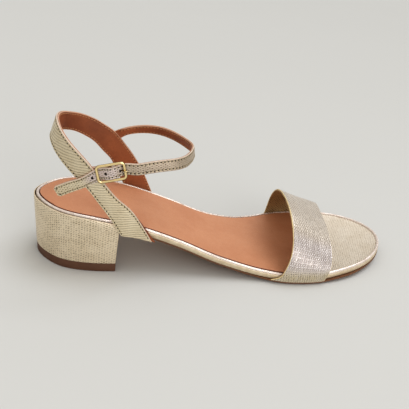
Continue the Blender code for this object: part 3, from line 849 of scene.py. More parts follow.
class Finish:
    """Builds the nodes of one material."""

    def __init__(self, name, **constants):
        self.material = LOOKS[name] = bpy.data.materials.new(name)
        self.material.use_nodes = True
        self.tree = self.material.node_tree
        self.set(**constants)

    def put(self, socket, value):
        """Links or sets a socket. Three numbers are an sRGB tone from 0 to 255."""
        if isinstance(value, bpy.types.NodeSocket):
            self.tree.links.new(value, socket)
        else:
            socket.default_value = colour(value) if np.size(value) == 3 else value

    def set(self, **values):
        for socket, value in values.items():
            self.put(self.tree.nodes["Principled BSDF"].inputs[socket.replace("_", " ")], value)

    def add(self, kind, inputs=None, **settings):
        node = self.tree.nodes.new(kind)
        for key, value in settings.items():
            setattr(node, key, value)
        for key, value in (inputs or {}).items():
            self.put(node.inputs[key], value)
        return node

    def math(self, operation, *values):
        return self.add("ShaderNodeMath", dict(enumerate(values)), operation=operation).outputs[0]

    def plus(self, *values):
        return self.math("ADD", *values)

    def minus(self, *values):
        return self.math("SUBTRACT", *values)

    def times(self, *values):
        return self.math("MULTIPLY", *values)

    def ramp(self, value, low, high, start=0.0, end=1.0):
        """Start below low, end above high, and a smooth step between them."""
        inputs = {"Value": value, "From Min": low, "From Max": high, "To Min": start, "To Max": end}
        return self.add("ShaderNodeMapRange", inputs, interpolation_type="SMOOTHSTEP").outputs["Result"]

    def stretch(self, value, start, full, still, end):
        """1 between full and still, and 0 outside start and end."""
        return self.times(self.ramp(value, start, full), self.ramp(value, still, end, 1.0, 0.0))

    def mix(self, share, first, second):
        return self.add("ShaderNodeMix", {0: share, 6: first, 7: second}, data_type="RGBA").outputs[2]

    def pattern(self):
        """The piece's own coordinates in millimetres: along it and across it."""
        uv = self.add("ShaderNodeUVMap", uv_map="pattern").outputs["UV"]
        parts = self.add("ShaderNodeSeparateXYZ", {"Vector": uv})
        return parts.outputs["X"], parts.outputs["Y"]

    def noise(self, size, detail=2.0, vector=None):
        """Soft noise from 0 to 1 whose spots are about this size."""
        place = vector or self.add("ShaderNodeTexCoord").outputs["Object"]
        inputs = {"Vector": place, "Scale": 1 / size, "Detail": detail}
        return self.add("ShaderNodeTexNoise", inputs).outputs["Fac"]

    def rough(self, size, low, high):
        """Roughness that changes slowly between two values."""
        self.set(Roughness=self.ramp(self.noise(size), 0.3, 0.7, low, high))

    def bump(self, height, depth):
        inputs = {"Height": height, "Distance": depth, "Strength": 1.0}
        self.set(Normal=self.add("ShaderNodeBump", inputs).outputs["Normal"])


def turned(finish, u, v, degrees):
    """Coordinates turned by an angle."""
    cos, sin = math.cos(math.radians(degrees)), math.sin(math.radians(degrees))
    along = finish.plus(finish.times(u, cos), finish.times(v, sin))
    return along, finish.minus(finish.times(v, cos), finish.times(u, sin))


def dashes(finish, u, v, pitch, long_share, tall_share, line, stagger):
    """Columns of short dashes: 1 in a dash, 0 between rows, and line between the dashes of a row.

    Stagger is how far every second column is shifted, as a share of the way from row to row.
    """
    column = finish.math("DIVIDE", u, pitch[0])
    odd = finish.times(finish.math("FLOORED_MODULO", finish.math("FLOOR", column), 2.0), stagger)
    row = finish.plus(finish.math("DIVIDE", v, pitch[1]), odd)
    from_column, from_row = (
        finish.math("ABSOLUTE", finish.minus(finish.math("FRACT", part), 0.5)) for part in (column, row)
    )
    wide = finish.ramp(from_column, long_share / 2 - 0.10, long_share / 2 + 0.14, 1.0, line)
    return finish.times(wide, finish.ramp(from_row, tall_share / 2 - 0.12, tall_share / 2 + 0.20, 1.0, 0.0))


def gold_leather(
    name, light, shade, dash, pitch, angle=0.0, long_share=0.6, tall_share=0.34, line=0.0, stagger=0.5,
    metallic=0.55, roughness=0.42, depth=0.13, dark=0.95, faint=0.7, rib=0.0, valley_shade=0.5, tones=(), marks=(),
    streak=None,
):
    """Pale gold metallic leather embossed with staggered dashes, which fade and deepen from place to place.

    Rib adds soft ridges along the pattern's first direction, as deep as that share of a dash, and
    valley_shade darkens the lines between them as painted shade. Tones are other tones, each with the
    distances along the strap where it starts, is full, is still full and ends. Marks are the dashes' own
    tones in such stretches. Streak is a tone in soft lines along the strap. On the ankle strap the tones
    paint reflections, and on the vamp the middle tone, the marks and the streak paint a highlight and a
    sheen.
    """
    finish = Finish(name, Metallic=metallic)
    u, v = turned(finish, *finish.pattern(), angle)
    v = finish.plus(v, finish.times(finish.minus(finish.noise(8 * MM), 0.5), 1.2))
    drift = finish.minus(finish.noise(5 * MM), 0.5)
    mark = dashes(finish, finish.plus(u, drift), v, pitch, long_share, tall_share, line, stagger)
    patch = finish.ramp(finish.noise(6 * MM, 3.0), 0.38, 0.60, faint, 1.0)
    single = finish.ramp(finish.noise(1.4 * MM), 0.35, 0.60, 0.35, 1.0)
    mark = finish.times(finish.times(mark, patch), single)
    mottle = finish.ramp(finish.noise(12 * MM, 3.0), 0.35, 0.65)
    fine = finish.ramp(finish.noise(0.9 * MM), 0.35, 0.70)
    base = finish.mix(finish.times(finish.plus(mottle, fine), 0.5), light, shade)
    # Other tones over stretches of the strap: painted reflections on the ankle strap, and a darker base under
    # painted glints on the vamp
    for tone, *stops in tones:
        base = finish.mix(finish.stretch(u, *stops), base, tone)
    # The dashes' own tones over stretches: near-white painted glints on the vamp
    for tone, *stops in marks:
        dash = finish.mix(finish.stretch(u, *stops), dash, tone)
    height = finish.times(finish.noise(0.35 * MM, 3.0), 0.25)
    # Streak: a painted sheen in soft lines, also raised in the bump
    if streak:
        places = finish.add("ShaderNodeCombineXYZ", {"X": finish.times(u, 0.12), "Y": v}).outputs[0]
        line = finish.ramp(finish.noise(STREAK_SCALE, vector=places), 0.42, 0.62)
        base = finish.mix(finish.times(line, 0.38), base, streak)
        height = finish.plus(height, finish.times(line, 0.45))
    dashed_tone_with_painted_light = finish.mix(finish.times(mark, dark), base, dash)
    height = finish.minus(height, mark)
    if rib:
        wave = finish.math("COSINE", finish.times(v, 2 * math.pi / pitch[1]))
        height = finish.plus(height, finish.times(wave, rib / 2))
        # The valleys between the ribs take the dash tone as painted shade
        dashed_tone_with_painted_light = finish.mix(finish.ramp(wave, -1.0, 0.2, rib * valley_shade, 0.0), dashed_tone_with_painted_light, dash)
    finish.set(Base_Color=dashed_tone_with_painted_light)
    finish.rough(1.2 * MM, roughness - 0.08, roughness + 0.08)
    finish.bump(height, depth * MM)


def wall_gold(name, light, shade):
    """Gold leather drawn tight over the board's wall, with fine creases."""
    finish = Finish(name, Metallic=0.45)
    finish.set(Base_Color=finish.mix(finish.ramp(finish.noise(4 * MM, 3.0), 0.35, 0.65), light, shade))
    finish.rough(1.5 * MM, 0.34, 0.52)
    finish.bump(finish.noise(1.1 * MM), 0.05 * MM)


def bead_gold(name, light, shade, wrinkle_shade):
    """Pale gold leather drawn round the rim's bead, with slanting wrinkles like a rope's in places, their
    grooves painted darker as shade.
    """
    finish = Finish(name, Metallic=0.5)
    u, v = finish.pattern()
    swing = finish.plus(finish.plus(u, finish.times(v, -0.9)), finish.times(finish.noise(2.5 * MM), 2.2))
    wave = finish.math("SINE", finish.times(swing, 2 * math.pi / 1.9))
    patch = finish.ramp(finish.noise(14 * MM), 0.46, 0.62, 0.1, 0.8)
    wrinkle = finish.times(finish.ramp(wave, 0.1, 1.0), patch)
    base = finish.mix(finish.ramp(finish.noise(4 * MM, 3.0), 0.35, 0.65), light, shade)
    # The wrinkles' grooves take a darker tone as painted shade
    finish.set(Base_Color=finish.mix(finish.times(wrinkle, 0.35), base, wrinkle_shade))
    finish.rough(1.5 * MM, 0.22, 0.38)
    finish.bump(wrinkle, -0.12 * MM)


def wire_gold(name, light, shade):
    """Polished pale gold whose sides, seen aslant, are painted darker as a dark reflection."""
    finish = Finish(name, Metallic=1.0)
    aslant = finish.add("ShaderNodeLayerWeight", {"Blend": 0.5}).outputs["Facing"]
    finish.set(Base_Color=finish.mix(finish.ramp(aslant, 0.08, 0.50), light, shade))
    finish.rough(2 * MM, 0.10, 0.16)
    finish.bump(finish.noise(1.2 * MM), 0.01 * MM)


def plain_leather(name, light, shade, deep, roughness):
    """Smooth dyed leather with a fine grain and slow changes of tone."""
    finish = Finish(name, Metallic=0.0)
    base = finish.mix(finish.ramp(finish.noise(22 * MM, 4.0), 0.32, 0.68), light, shade)
    speck = finish.ramp(finish.noise(0.5 * MM, 4.0), 0.35, 0.75)
    finish.set(Base_Color=finish.mix(finish.times(speck, 0.35), base, deep))
    finish.rough(3 * MM, roughness - 0.05, roughness + 0.07)
    finish.bump(finish.noise(0.5 * MM, 5.0), 0.05 * MM)


def plain_finish(name, tone, roughness, metallic=0.0, size=0.6, depth=0.03, spread=0.12):
    """A colour that is never quite even, for edges, thread and small trim. Spread is how far it darkens."""
    finish = Finish(name, Metallic=metallic)
    darker = (*(part * (1 - spread) for part in colour(tone)[:3]), 1.0)
    finish.set(Base_Color=finish.mix(finish.ramp(finish.noise(size * MM, 3.0), 0.3, 0.7), tone, darker))
    finish.rough(size * 2 * MM, roughness - 0.04, roughness + 0.06)
    finish.bump(finish.noise(size * MM, 3.0), depth * MM)


def make_materials():
    """Every finish of the shoe. Tones go from light to dark."""
    strap = ((234, 222, 195), (220, 206, 176), (122, 103, 72))
    gold_leather(
        "quarter_gold", *strap, (1.53, 1.55), long_share=0.5, tall_share=0.12, line=0.7, faint=0.5,
        stagger=0.12, rib=0.6, valley_shade=0.45, dark=0.65, metallic=0.7,
    )
    # Ankle strap: a paler silvery tone round the buckle is a painted reflection, and the greyer, darker tone
    # from there forward is a painted dim reflection
    gold_leather(
        "ankle_gold", *strap, (1.3, 1.45), long_share=0.5, tall_share=0.32, line=0.2, faint=0.6, rib=0.2,
        dark=0.9, metallic=0.65,
        tones=(((226, 211, 205), 15, 24, 34, 50), ((196, 181, 162), 36, 50, 300, 400)),
        marks=(((104, 82, 72), 12, 22, 60, 90),),
    )
    # Vamp: a more olive tone near the root; from 6 to 38 mm a darker base under near-white dashes paints the
    # highlight on the raised dots, and the streak is a painted sheen along the ribs
    gold_leather(
        "vamp_gold", (240, 230, 217), (224, 212, 196), (112, 95, 77), (1.25, 1.55), long_share=0.56,
        tall_share=0.36, faint=0.9, metallic=0.6, roughness=0.36, rib=0.35, depth=0.16,
        tones=(((214, 201, 173), -2, -1, 4, 10), ((172, 160, 154), 6, 12, 24, 38)),
        marks=(((252, 247, 247), 6, 12, 24, 34),), streak=(230, 221, 212),
    )
    # The vamp's inner face: the same gold, painted darker and duller as shade
    gold_leather(
        "vamp_inner_face_shaded", (196, 166, 120), (176, 146, 102), (70, 48, 24), (1.6, 1.5), 30, metallic=0.3,
        roughness=0.5,
    )
    gold_leather(
        "heel_gold", (246, 232, 207), (236, 221, 194), (140, 120, 90), (1.53, 1.25), long_share=0.68,
        metallic=0.78, depth=0.18,
    )
    gold_leather(
        "toe_gold", (228, 218, 203), (216, 204, 186), (142, 126, 100), (1.6, 1.3), 38, dark=0.8,
        roughness=0.46, faint=0.85,
    )
    bead_gold("rim_gold", (244, 232, 224), (232, 216, 204), (140, 120, 100))
    wall_gold("wall_gold", (224, 208, 180), (210, 192, 162))
    wire_gold("buckle", (255, 230, 174), (84, 56, 16))
    plain_leather("lining", (168, 100, 62), (128, 70, 41), (92, 48, 26), 0.5)
    plain_leather("sock", (204, 146, 110), (196, 136, 100), (168, 108, 74), 0.56)
    for row in (
        ("cup_edge", (240, 222, 194), 0.4, 0.3),
        # The groove of the heel's cup beside the footbed, painted dark as shade
        ("groove", (110, 92, 62), 0.8),
        ("sock_edge", (112, 60, 34), 0.7),
        ("strap_edge", (222, 200, 180), 0.5),
        ("lining_edge", (206, 160, 132), 0.55),
        ("seam_line", (104, 56, 38), 0.7),
        ("vamp_edge", (244, 222, 168), 0.4, 0.3),
        # The recess beside and under the sock, painted dark as shade
        ("recess_shade", (64, 32, 18), 0.8),
        ("top_piece", (100, 66, 46), 0.55, 0.0, 5.0),
        ("outsole_edge", (122, 80, 50), 0.5, 0.0, 0.9, 0.06, 0.3),
        ("outsole_tread", (178, 126, 80), 0.62, 0.0, 1.4, 0.10, 0.2),
        # Needle and strap holes, painted dark as the shade inside them
        ("hole", (40, 29, 18), 0.9),
        ("thread", (196, 180, 146), 0.6, 0.0, 0.3, 0.05),
        ("lining_thread", (214, 158, 112), 0.6, 0.0, 0.3, 0.05),
    ):
        plain_finish(*row)


def sole_ring(turns, outset, drop):
    """A closed ring of points round the outline: outer side from heel to toe, then the inner side back."""
    outset = np.broadcast_to(outset, turns.shape)
    sides = []
    for side, step in ((-1, 1), (1, -1)):
        flat = edge_at(turns[::step], side, outset[::step])
        sides.append(np.column_stack([flat, top_line(flat[:, 0]) + drop]))
    return np.vstack(sides)


def stack(name, rings, zones, looks, slot, nodes):
    """A closed piece through rings of equal length that run there and back, with strips across both ends.

    Zones holds the zone of each band between two rings, then those of the lower and the upper end.
    """
    count = len(rings[0])
    *bands, low, high = zones
    faces = grid_faces(len(rings), count, True)
    face_zones = list(np.repeat(bands, count))
    for start, zone in ((0, low), ((len(rings) - 1) * count, high)):
        for i in range(count // 2 - 1):
            faces.append((start + i, start + i + 1, start + count - 2 - i, start + count - 1 - i))
            face_zones.append(zone)
    uv = np.vstack([np.column_stack([run_along(ring), ring[:, 2]]) for ring in rings]) / MM
    return closed_piece(name, np.vstack(rings), faces, looks, slot, nodes, uv, face_zones, WELD)


def make_footbed():
    """The wrapped board: its wall, the drawn-in line above it, the rounded rim and the sock's recess, painted
    dark as shade.
    """
    turns = np.linspace(0, math.pi, SOLE_STEPS + 1)
    rim = []
    for angle in np.radians(range(0, 181, 18)):
        rim.append((RIM_MIDDLE + RIM_HALF * math.cos(angle), RIM_HEIGHT * (math.sin(angle) - 1), 1))
    profile = [*FOOTBED_WALL, *rim, *FOOTBED_RECESS]
    rings = [sole_ring(turns, out * MM, drop * MM) for out, drop, _ in profile]
    zones = [zone for _, _, zone in profile[1:]] + [0, 2]
    looks = ("wall_gold", "rim_gold", "toe_gold", "recess_shade")
    obj = stack("footbed_wrap", rings, zones, looks, "footbed_wrap", ("footbed",))
    layer = obj.data.uv_layers["pattern"].data
    for face in obj.data.polygons:
        if face.material_index < 2:
            continue
        face.material_index = 3 if face.center.x < SOCK_LENGTH - FOOTBED_BACK - MM else 2
        for corner in face.loop_indices:
            place = obj.data.vertices[obj.data.loops[corner].vertex_index].co
            layer[corner].uv = (place.x / MM, place.y / MM)


def sock_edge(x, side, inset):
    """Where the sock's edge runs: the outline moved in by the rim, read at x."""
    turns = np.linspace(0.001, math.pi - 0.001, 2000)
    edge = edge_at(turns, side, -inset)
    keep = np.concatenate([[True], np.diff(np.maximum.accumulate(edge[:, 0])) > 0])
    return np.interp(x, edge[keep, 0], edge[keep, 1])


def make_sock():
    """The sock: a cushioned sheet that follows the footbed's recess and ends in a curved front edge."""
    inset = RIM_WIDTH - SOCK_GAP
    low = CLEARANCE - RECESS_DEPTH
    start = inset - FOOTBED_BACK + SOCK_BACK_GAP
    front = SOCK_LENGTH - FOOTBED_BACK + SOCK_HIDDEN_END
    forward = 1 - np.cos(np.linspace(0, math.pi / 2, SOCK_STEPS + 1)[:, None])
    over = (1 - np.cos(np.linspace(0, math.pi, SOCK_COLUMNS))) / 2
    x = start + (front - start) * forward
    outer, inner = (sock_edge(x, side, inset) for side in (-1, 1))
    y = outer + (inner - outer) * over
    beside = np.minimum(y - outer, inner - y)
    ends = np.minimum((x - start) * SOCK_END_SLOPES[0], (front - x) * SOCK_END_SLOPES[1]) + SOCK_END_EDGE
    edge = np.minimum(beside, ends).clip(0)
    roll = np.sqrt(1 - (1 - np.minimum(edge / SOCK_ROLL, 1)) ** 2)
    puff = SOCK_PUFF * np.minimum(edge / SOCK_PUFF_REACH, 1) ** 0.6
    z = top_line(x) + low + SOCK_THICKNESS * (SOCK_EDGE_SHARE + (1 - SOCK_EDGE_SHARE) * roll) + puff
    x = x + SOCK_FRONT_CURVE * (1 - (2 * over - 1) ** 2) * forward**6
    top = np.stack([x, y, z], -1).reshape(-1, 3)
    under = np.column_stack([top[:, :2], top_line(top[:, 0]) + low])
    sheet = np.array(grid_faces(SOCK_STEPS + 1, SOCK_COLUMNS))
    zones = (edge.ravel()[sheet].max(1) < SOCK_DARK_EDGE).astype(int).tolist()
    count = len(top)
    place = np.arange(count).reshape(SOCK_STEPS + 1, SOCK_COLUMNS)
    rim = np.concatenate([place[0], place[1:, -1], place[-1, -2::-1], place[-2:0:-1, 0]])
    after = np.roll(rim, -1)
    wall = np.column_stack([rim, after, count + after, count + rim])
    faces = np.vstack([sheet, count + sheet[:, ::-1], wall])
    zones += [1] * (len(faces) - len(zones))
    closed_piece(
        "sock_lining", np.vstack([top, under]), faces, ("sock", "sock_edge"), "sock", ("sock",), zones=zones
    )


def make_outsole():
    turns = np.linspace(turn_at(BREAST_FORWARD + BREAST_SLANT + CLEARANCE), math.pi, SOLE_STEPS + 1)
    edge = VAMP_THICKNESS * SOLE_OUTSET((1 - np.cos(turns)) / 2)
    rings = []
    for inset, up in OUTSOLE_PROFILE:
        rings.append(sole_ring(turns, edge - inset * MM, up * OUTSOLE_THICKNESS - SOLE_THICKNESS))
    zones = [0] * (len(rings) - 1) + [1, 0]
    stack("outsole_leather", rings, zones, ("outsole_edge", "outsole_tread"), "outsole", ("outsole",))


def resampled(ring, count):
    """A closed ring of points read again at even steps along it."""
    closed = np.vstack([ring, ring[:1]])
    run = run_along(closed)
    at = np.linspace(0, run[-1], count + 1)[:-1]
    return np.column_stack([np.interp(at, run, column) for column in closed.T])


def heel_ring(level, outset, shrink=0.0):
    """The D-shaped plan of the heel at a level from 0 to 1, with rounded corners at its breast."""
    breast = BREAST_FORWARD + BREAST_SLANT * level - shrink
    turns = np.linspace(0, turn_at(breast), HEEL_STEPS)
    outer, inner = (edge_at(turns, side, outset) for side in (-1, 1))
    corners = (outer[-1, 1] + BREAST_ROUND, inner[-1, 1] - BREAST_ROUND)
    rounds = []
    for y, start in zip(corners, (-90, 0)):
        arc = np.radians(np.linspace(start, start + 90, CORNER_STEPS))
        rounds.append([breast - BREAST_ROUND, y] + BREAST_ROUND * np.column_stack([np.cos(arc), np.sin(arc)]))
    straight = np.linspace(*corners, BREAST_STEPS)[1:-1]
    straight = np.column_stack([np.full_like(straight, breast), straight])
    outer, inner = (edge[edge[:, 0] < breast - BREAST_ROUND] for edge in (outer, inner))
    return resampled(np.vstack([outer, rounds[0], straight, rounds[1], inner[::-1][:-1]]), HEEL_COUNT)


def make_heel():
    """The covered block, and its cup with a rounded lip that rises round the back of the footbed."""
    low = TOP_PIECE_THICKNESS + CLEARANCE
    rings = []
    for level in np.linspace(0, 1, HEEL_LEVELS + 1):
        flat = heel_ring(level, CUP_OUTSET - HEEL_TAPER * (1 - level))
        top = top_line(flat[:, 0]) - CUP_DROP - CUP_LIP_HEIGHT
        rings.append(np.column_stack([flat, low + level * (top - low)]))
    for inset, lift in CUP_LIP:
        flat = heel_ring(1.0, CUP_OUTSET - inset * MM)
        rings.append(np.column_stack([flat, top_line(flat[:, 0]) - CUP_DROP + lift * MM]))
    bands = [0] * HEEL_LEVELS + [1] * CUP_LIP_BANDS + [2] * (len(CUP_LIP) - CUP_LIP_BANDS)
    run = run_along(rings[0])
    uv = np.vstack([np.column_stack([run, ring[:, 2]]) for ring in rings]) / MM
    faces = tube_faces(len(rings), HEEL_COUNT)
    # The groove finish is painted shade where the cup's lip dips beside the footbed
    looks = ("heel_gold", "cup_edge", "groove")
    zones = [*np.repeat(bands, HEEL_COUNT), 0, 2]
    closed_piece("heel_cover", np.vstack(rings), faces, looks, "heel_cover", ("heel_block",), uv, zones)


def make_top_piece():
    outset = CUP_OUTSET - HEEL_TAPER - TOP_PIECE_INSET
    rings = []
    for inset, up in TOP_PIECE_PROFILE:
        flat = heel_ring(0.0, outset - inset * MM, inset * MM)
        rings.append(np.column_stack([flat, np.full(len(flat), up * MM)]))
    faces = tube_faces(len(rings), HEEL_COUNT)
    closed_piece("top_piece", np.vstack(rings), faces, ("top_piece",), "top_piece", ("heel_top_piece",))


def scatter(name, shape, origins, axes, look):
    """Copies of a small shape as one mesh. Axes holds three unit vectors for each copy."""
    corners, shape_faces = shape
    points = origins[:, None, :] + np.einsum("pk,nkc->npc", np.array(corners, float), axes)
    faces = []
    for start in range(0, len(origins) * len(corners), len(corners)):
        faces += [tuple(start + k for k in face) for face in shape_faces]
    finished(add_mesh(name, points.reshape(-1, 3), faces, (look,)), "ankle_straps")


def capsule(length, width, lift):
    """A stitch: a short thread that rises from one needle hole and dips into the next."""
    rings, sides = 7, 6
    points = []
    for t in np.linspace(0, 1, rings):
        radius = width / 2 * (0.35 + 0.65 * math.sin(math.pi * min(max(t, 0.06), 0.94)) ** 0.5)
        height = lift * (math.sin(math.pi * t) ** 0.6 - 0.55)
        for angle in np.linspace(0, 2 * math.pi, sides, endpoint=False):
            points.append((length * (t - 0.5), radius * math.cos(angle), height + radius * math.sin(angle)))
    return points, tube_faces(rings, sides)


def pit(length, width):
    """A hole in leather: a lens nearly flush with the surface, dark as painted shade inside the hole."""
    sides = 10
    points = [(0.0, 0.0, PIT_MIDDLE * MM)]
    for share, height in PIT_RINGS:
        for angle in np.linspace(0, 2 * math.pi, sides, endpoint=False):
            reach = share / 2 * np.array([length * math.cos(angle), width * math.sin(angle)])
            points.append((*reach, height * MM))
    faces = [(0, 1 + j, 1 + (j + 1) % sides) for j in range(sides)]
    faces += grid_faces(len(PIT_RINGS), sides, True, 1)
    faces.append(tuple(range(len(points) - sides, len(points)))[::-1])
    return points, faces


def edge_seams(surface, start, end, pitch):
    """Two seams along a strap's edges, between two shares of its length, as lines of shares with a pitch."""
    at = np.linspace(start, end, SEAM_STEPS)
    inset = STITCH_INSET / strap_widths(surface, at)
    return [(at, inset, pitch), (at, 1 - inset, pitch)]


def stitch_line(surface, centre, at, across, pitch, offset):
    """Needle holes along a line of shares: their places, and the directions along it and out of the strap."""
    run = run_along(surface(at, across))
    stops = np.linspace(0, run[-1], max(round(float(run[-1]) / pitch), 2) + 1)
    places, shares = np.interp(stops, run, at), np.interp(stops, run, across)
    normal = normals_of(surface, places, shares, centre)
    points = surface(places, shares) + normal * offset
    return points, unit(np.gradient(points, axis=0)), normal


def sew(name, surface, centre, thickness, seams):
    """Stitches on both faces of a strap, each a thread between two needle holes."""
    for face, direction, thread, hole in (
        ("outer", 1, "thread", NEEDLE_HOLE), ("inner", -1, "lining_thread", NEEDLE_HOLE * LINING_HOLE_SHARE)
    ):
        holes = []
        threads = []
        for at, across, pitch in seams:
            points, along, normal = stitch_line(surface, centre, at, across, pitch, direction * thickness / 2)
            out = normal * direction
            along = unit(along - out * np.sum(along * out, -1, keepdims=True))
            holes.append((points, np.stack([along, np.cross(out, along), out], 1)))
            up = unit(out[1:] + out[:-1])
            step = unit(points[1:] - points[:-1])
            threads.append(((points[1:] + points[:-1]) / 2, np.stack([step, np.cross(up, step), up], 1)))
        for part, shape, look, rows in (
            ("holes", pit(hole * HOLE_STRETCH, hole), "hole", holes),
            ("thread", capsule(STITCH_PITCH - hole, THREAD_WIDTH, THREAD_LIFT), thread, threads),
        ):
            origins, axes = (np.vstack([row[k] for row in rows]) for k in range(2))
            scatter(f"{name}_{part}_{face}", shape, origins, axes, look)


def make_vamp():
    """The toe strap, folded over at both edges and gold on both faces, its inner face painted darker as
    shade.
    """
    profile = strap_profile(VAMP_LEATHER, 0.0, VAMP_FACE_STEPS, edge=0.3, low_edge=1)
    profile = [(*row, (0, 1, 2, 2, 2)[zone]) for *row, zone in profile]
    looks = ("vamp_gold", "vamp_edge", "vamp_inner_face_shaded")
    build_strap(
        "vamp_leather", vamp_surface, np.array([VAMP_MIDDLE, 0.0, 0.0]), VAMP_STEPS, profile, looks,
        "vamp_strap", ("vamp_strap",),
    )


def level_pattern(points):
    """The quarter strap's emboss coordinates, which stay level: the way round the heel, and the height."""
    forward = points[..., 0] - LOOP_MIDDLE
    side = points[..., 1]
    straight = np.sign(side) * (LOOP_RADIUS_LOW * math.pi / 2 + forward)
    around = np.where(forward > 0, straight, LOOP_RADIUS_LOW * np.arctan2(side, -forward))
    return np.stack([around, points[..., 2]], -1)


def make_quarter():
    """The strap behind the ankle, its stitches, and its lining's free edge at the outer root."""
    centre = np.array([LOOP_MIDDLE, 0.0, LOOP_CENTRE_HEIGHT])
    profile = strap_profile(QUARTER_LEATHER, QUARTER_CROWN, QUARTER_FACE_STEPS)
    build_strap(
        "quarter_strap", quarter_surface, centre, QUARTER_STEPS, profile, ("quarter_gold", *STRAP_LOOKS),
        nodes=("ankle_straps",), pattern=level_pattern,
    )
    seams = edge_seams(quarter_surface, QUARTER_SEAM_END, 1 - QUARTER_SEAM_END, STITCH_PITCH)
    sew("quarter", quarter_surface, centre, QUARTER_LEATHER, seams)

    def root_lining(at, across):
        """Wider towards the sole, and drawn a little behind the gold."""
        share = at * ROOT_LINING_SHARE
        wide = 1 - ROOT_LINING_FROM + ROOT_LINING * (1 - at) ** 1.4
        normal = normals_of(quarter_surface, share, np.full_like(share, ROOT_LINING_FROM), centre)
        return quarter_surface(share, ROOT_LINING_FROM + wide * across) - normal * ROOT_LINING_DEPTH

    profile = [(a, b * 0.1, w, 0) for a, b, w, _ in strap_profile(ROOT_LEATHER, 0.0, 3, edge=0.15)]
    build_strap("quarter_root_lining", root_lining, centre, ROOT_LINING_STEPS, profile, ("lining",))


def make_ankle():
    """The buckled strap, its stitches, and its holes."""
    path = ankle_path()
    length = path[-1][0]
    at_bar = path[len(ANKLE_TAIL) + BUCKLE_STEPS][0]
    ribbon = ribbon_surface(path, ANKLE_WIDTH)
    centre = np.array([BUCKLE_FORWARD + ANKLE_LOOP_LENGTH / 3, 0.0, BUCKLE_HEIGHT])
    radius = (LOOP_RADIUS_LOW + 2 * LOOP_RADIUS_HIGH) / 3

    def surface(at, across):
        """The ribbon, brought between the quarter strap's two leathers at its inner end."""
        from_bar = at * length - at_bar
        spread = STRAP_SPREAD * np.exp(-(np.clip(from_bar / STRAP_SPREAD_REACH, -2, 2) ** 6))
        places = ribbon(at, across - (1 - across) * spread)
        behind = np.clip((LOOP_MIDDLE - places[..., 0]) / radius, 0, 0.9)
        held = quarter_side(np.maximum(places[..., 0], LOOP_MIDDLE), 1) * np.sqrt(1 - behind**2)
        places[..., 1] += (held - places[..., 1]) * eased((at - ANKLE_ENTERS) / ANKLE_SETTLE)
        places[..., 2] -= TAIL_SAG * np.exp(-(((from_bar + TAIL_SAG_BEHIND) / TAIL_SAG_REACH) ** 2))
        return places

    def relief(at):
        """Thinner where the quarter strap swallows its end, with soft creases across it."""
        thick = 1 - ANKLE_END_THIN * eased((at - ANKLE_ENTERS) / ANKLE_THINNING)
        push = 0.0
        for place, depth, spread in ANKLE_CREASES:
            push = push - depth * np.exp(-(((at * length - at_bar - place) / spread) ** 2))
        return thick, push * MM

    profile = strap_profile(ANKLE_LEATHER, ANKLE_CROWN, ANKLE_FACE_STEPS)
    looks = ("ankle_gold", *STRAP_LOOKS)
    build_strap("ankle_strap", surface, centre, ANKLE_STEPS, profile, looks, relief=relief)
    tail = STITCH_INSET / length
    bar = at_bar / length
    seams = edge_seams(surface, tail * TAIL_SEAM_START, bar, TAIL_STITCH_PITCH)
    seams += edge_seams(surface, bar, ANKLE_SEAM_END, STITCH_PITCH)
    across = np.linspace(*TAIL_SEAM_ACROSS, SEAM_STEPS)
    seams.append((np.full_like(across, tail), across, TAIL_STITCH_PITCH))
    sew("ankle", surface, centre, ANKLE_LEATHER, seams)
    places = (at_bar + np.array(STRAP_HOLES)) / length
    shares = np.full_like(places, 0.5)
    normal = normals_of(surface, places, shares, centre)
    along = unit(surface(places + HOLE_NUDGE, shares) - surface(places - HOLE_NUDGE, shares))
    axes = np.stack([along, np.cross(normal, along), normal], 1)
    origins = surface(places, shares) + normal * (ANKLE_LEATHER / 2 + STRAP_HOLE_LIFT)
    scatter("ankle_strap_holes", pit(STRAP_HOLE_WIDTH, STRAP_HOLE_WIDTH), origins, axes, "hole")


def make_tab():
    """The tab round the centre bar, sewn to the quarter strap behind it."""
    curves = row_curves(TAB_PATTERN, smooth_curve)

    def surface(at, across):
        along, out = (curve(at * (len(TAB_PATTERN) - 1)) for curve in curves)
        return bar_point(along, out, TAB_WIDTH * (across - 0.5))

    profile = strap_profile(TAB_THICKNESS, 0.0, TAB_FACE_STEPS, edge=0.2, seam=0.05)
    looks = ("ankle_gold", *STRAP_LOOKS)
    build_strap("buckle_tab", surface, bar_point(*TAB_MIDDLE), TAB_STEPS, profile, looks)


def wire_mesh(name, points, widths, plane, closed=False, nodes=(), flat=1.0, power=2.0):
    """A wire of the buckle along points. Plane is the direction across which it lies flat.

    Flat is its thickness that way as a share of its width, and a power over 2 gives it flatter faces.
    """
    count = len(points)
    if closed:
        along = unit(np.roll(points, -1, 0) - np.roll(points, 1, 0))
        faces = np.array(grid_faces(count + 1, WIRE_SIDES, True)) % (count * WIRE_SIDES)
    else:
        along = unit(np.gradient(points, axis=0))
        faces = tube_faces(count, WIRE_SIDES)
    side = unit(np.cross(along, np.array(plane, float)))
    out = unit(np.cross(side, along))
    angles = np.linspace(0, 2 * math.pi, WIRE_SIDES, endpoint=False)
    cos, sin = (np.sign(part) * np.abs(part) ** (2 / power) for part in (np.cos(angles), np.sin(angles)))
    ring = cos[None, :, None] * side[:, None, :] + flat * sin[None, :, None] * out[:, None, :]
    ring *= np.broadcast_to(widths, (count,))[:, None, None] / 2
    points = (points[:, None, :] + ring).reshape(-1, 3)
    closed_piece(name, points, faces, ("buckle",), "buckle", nodes)


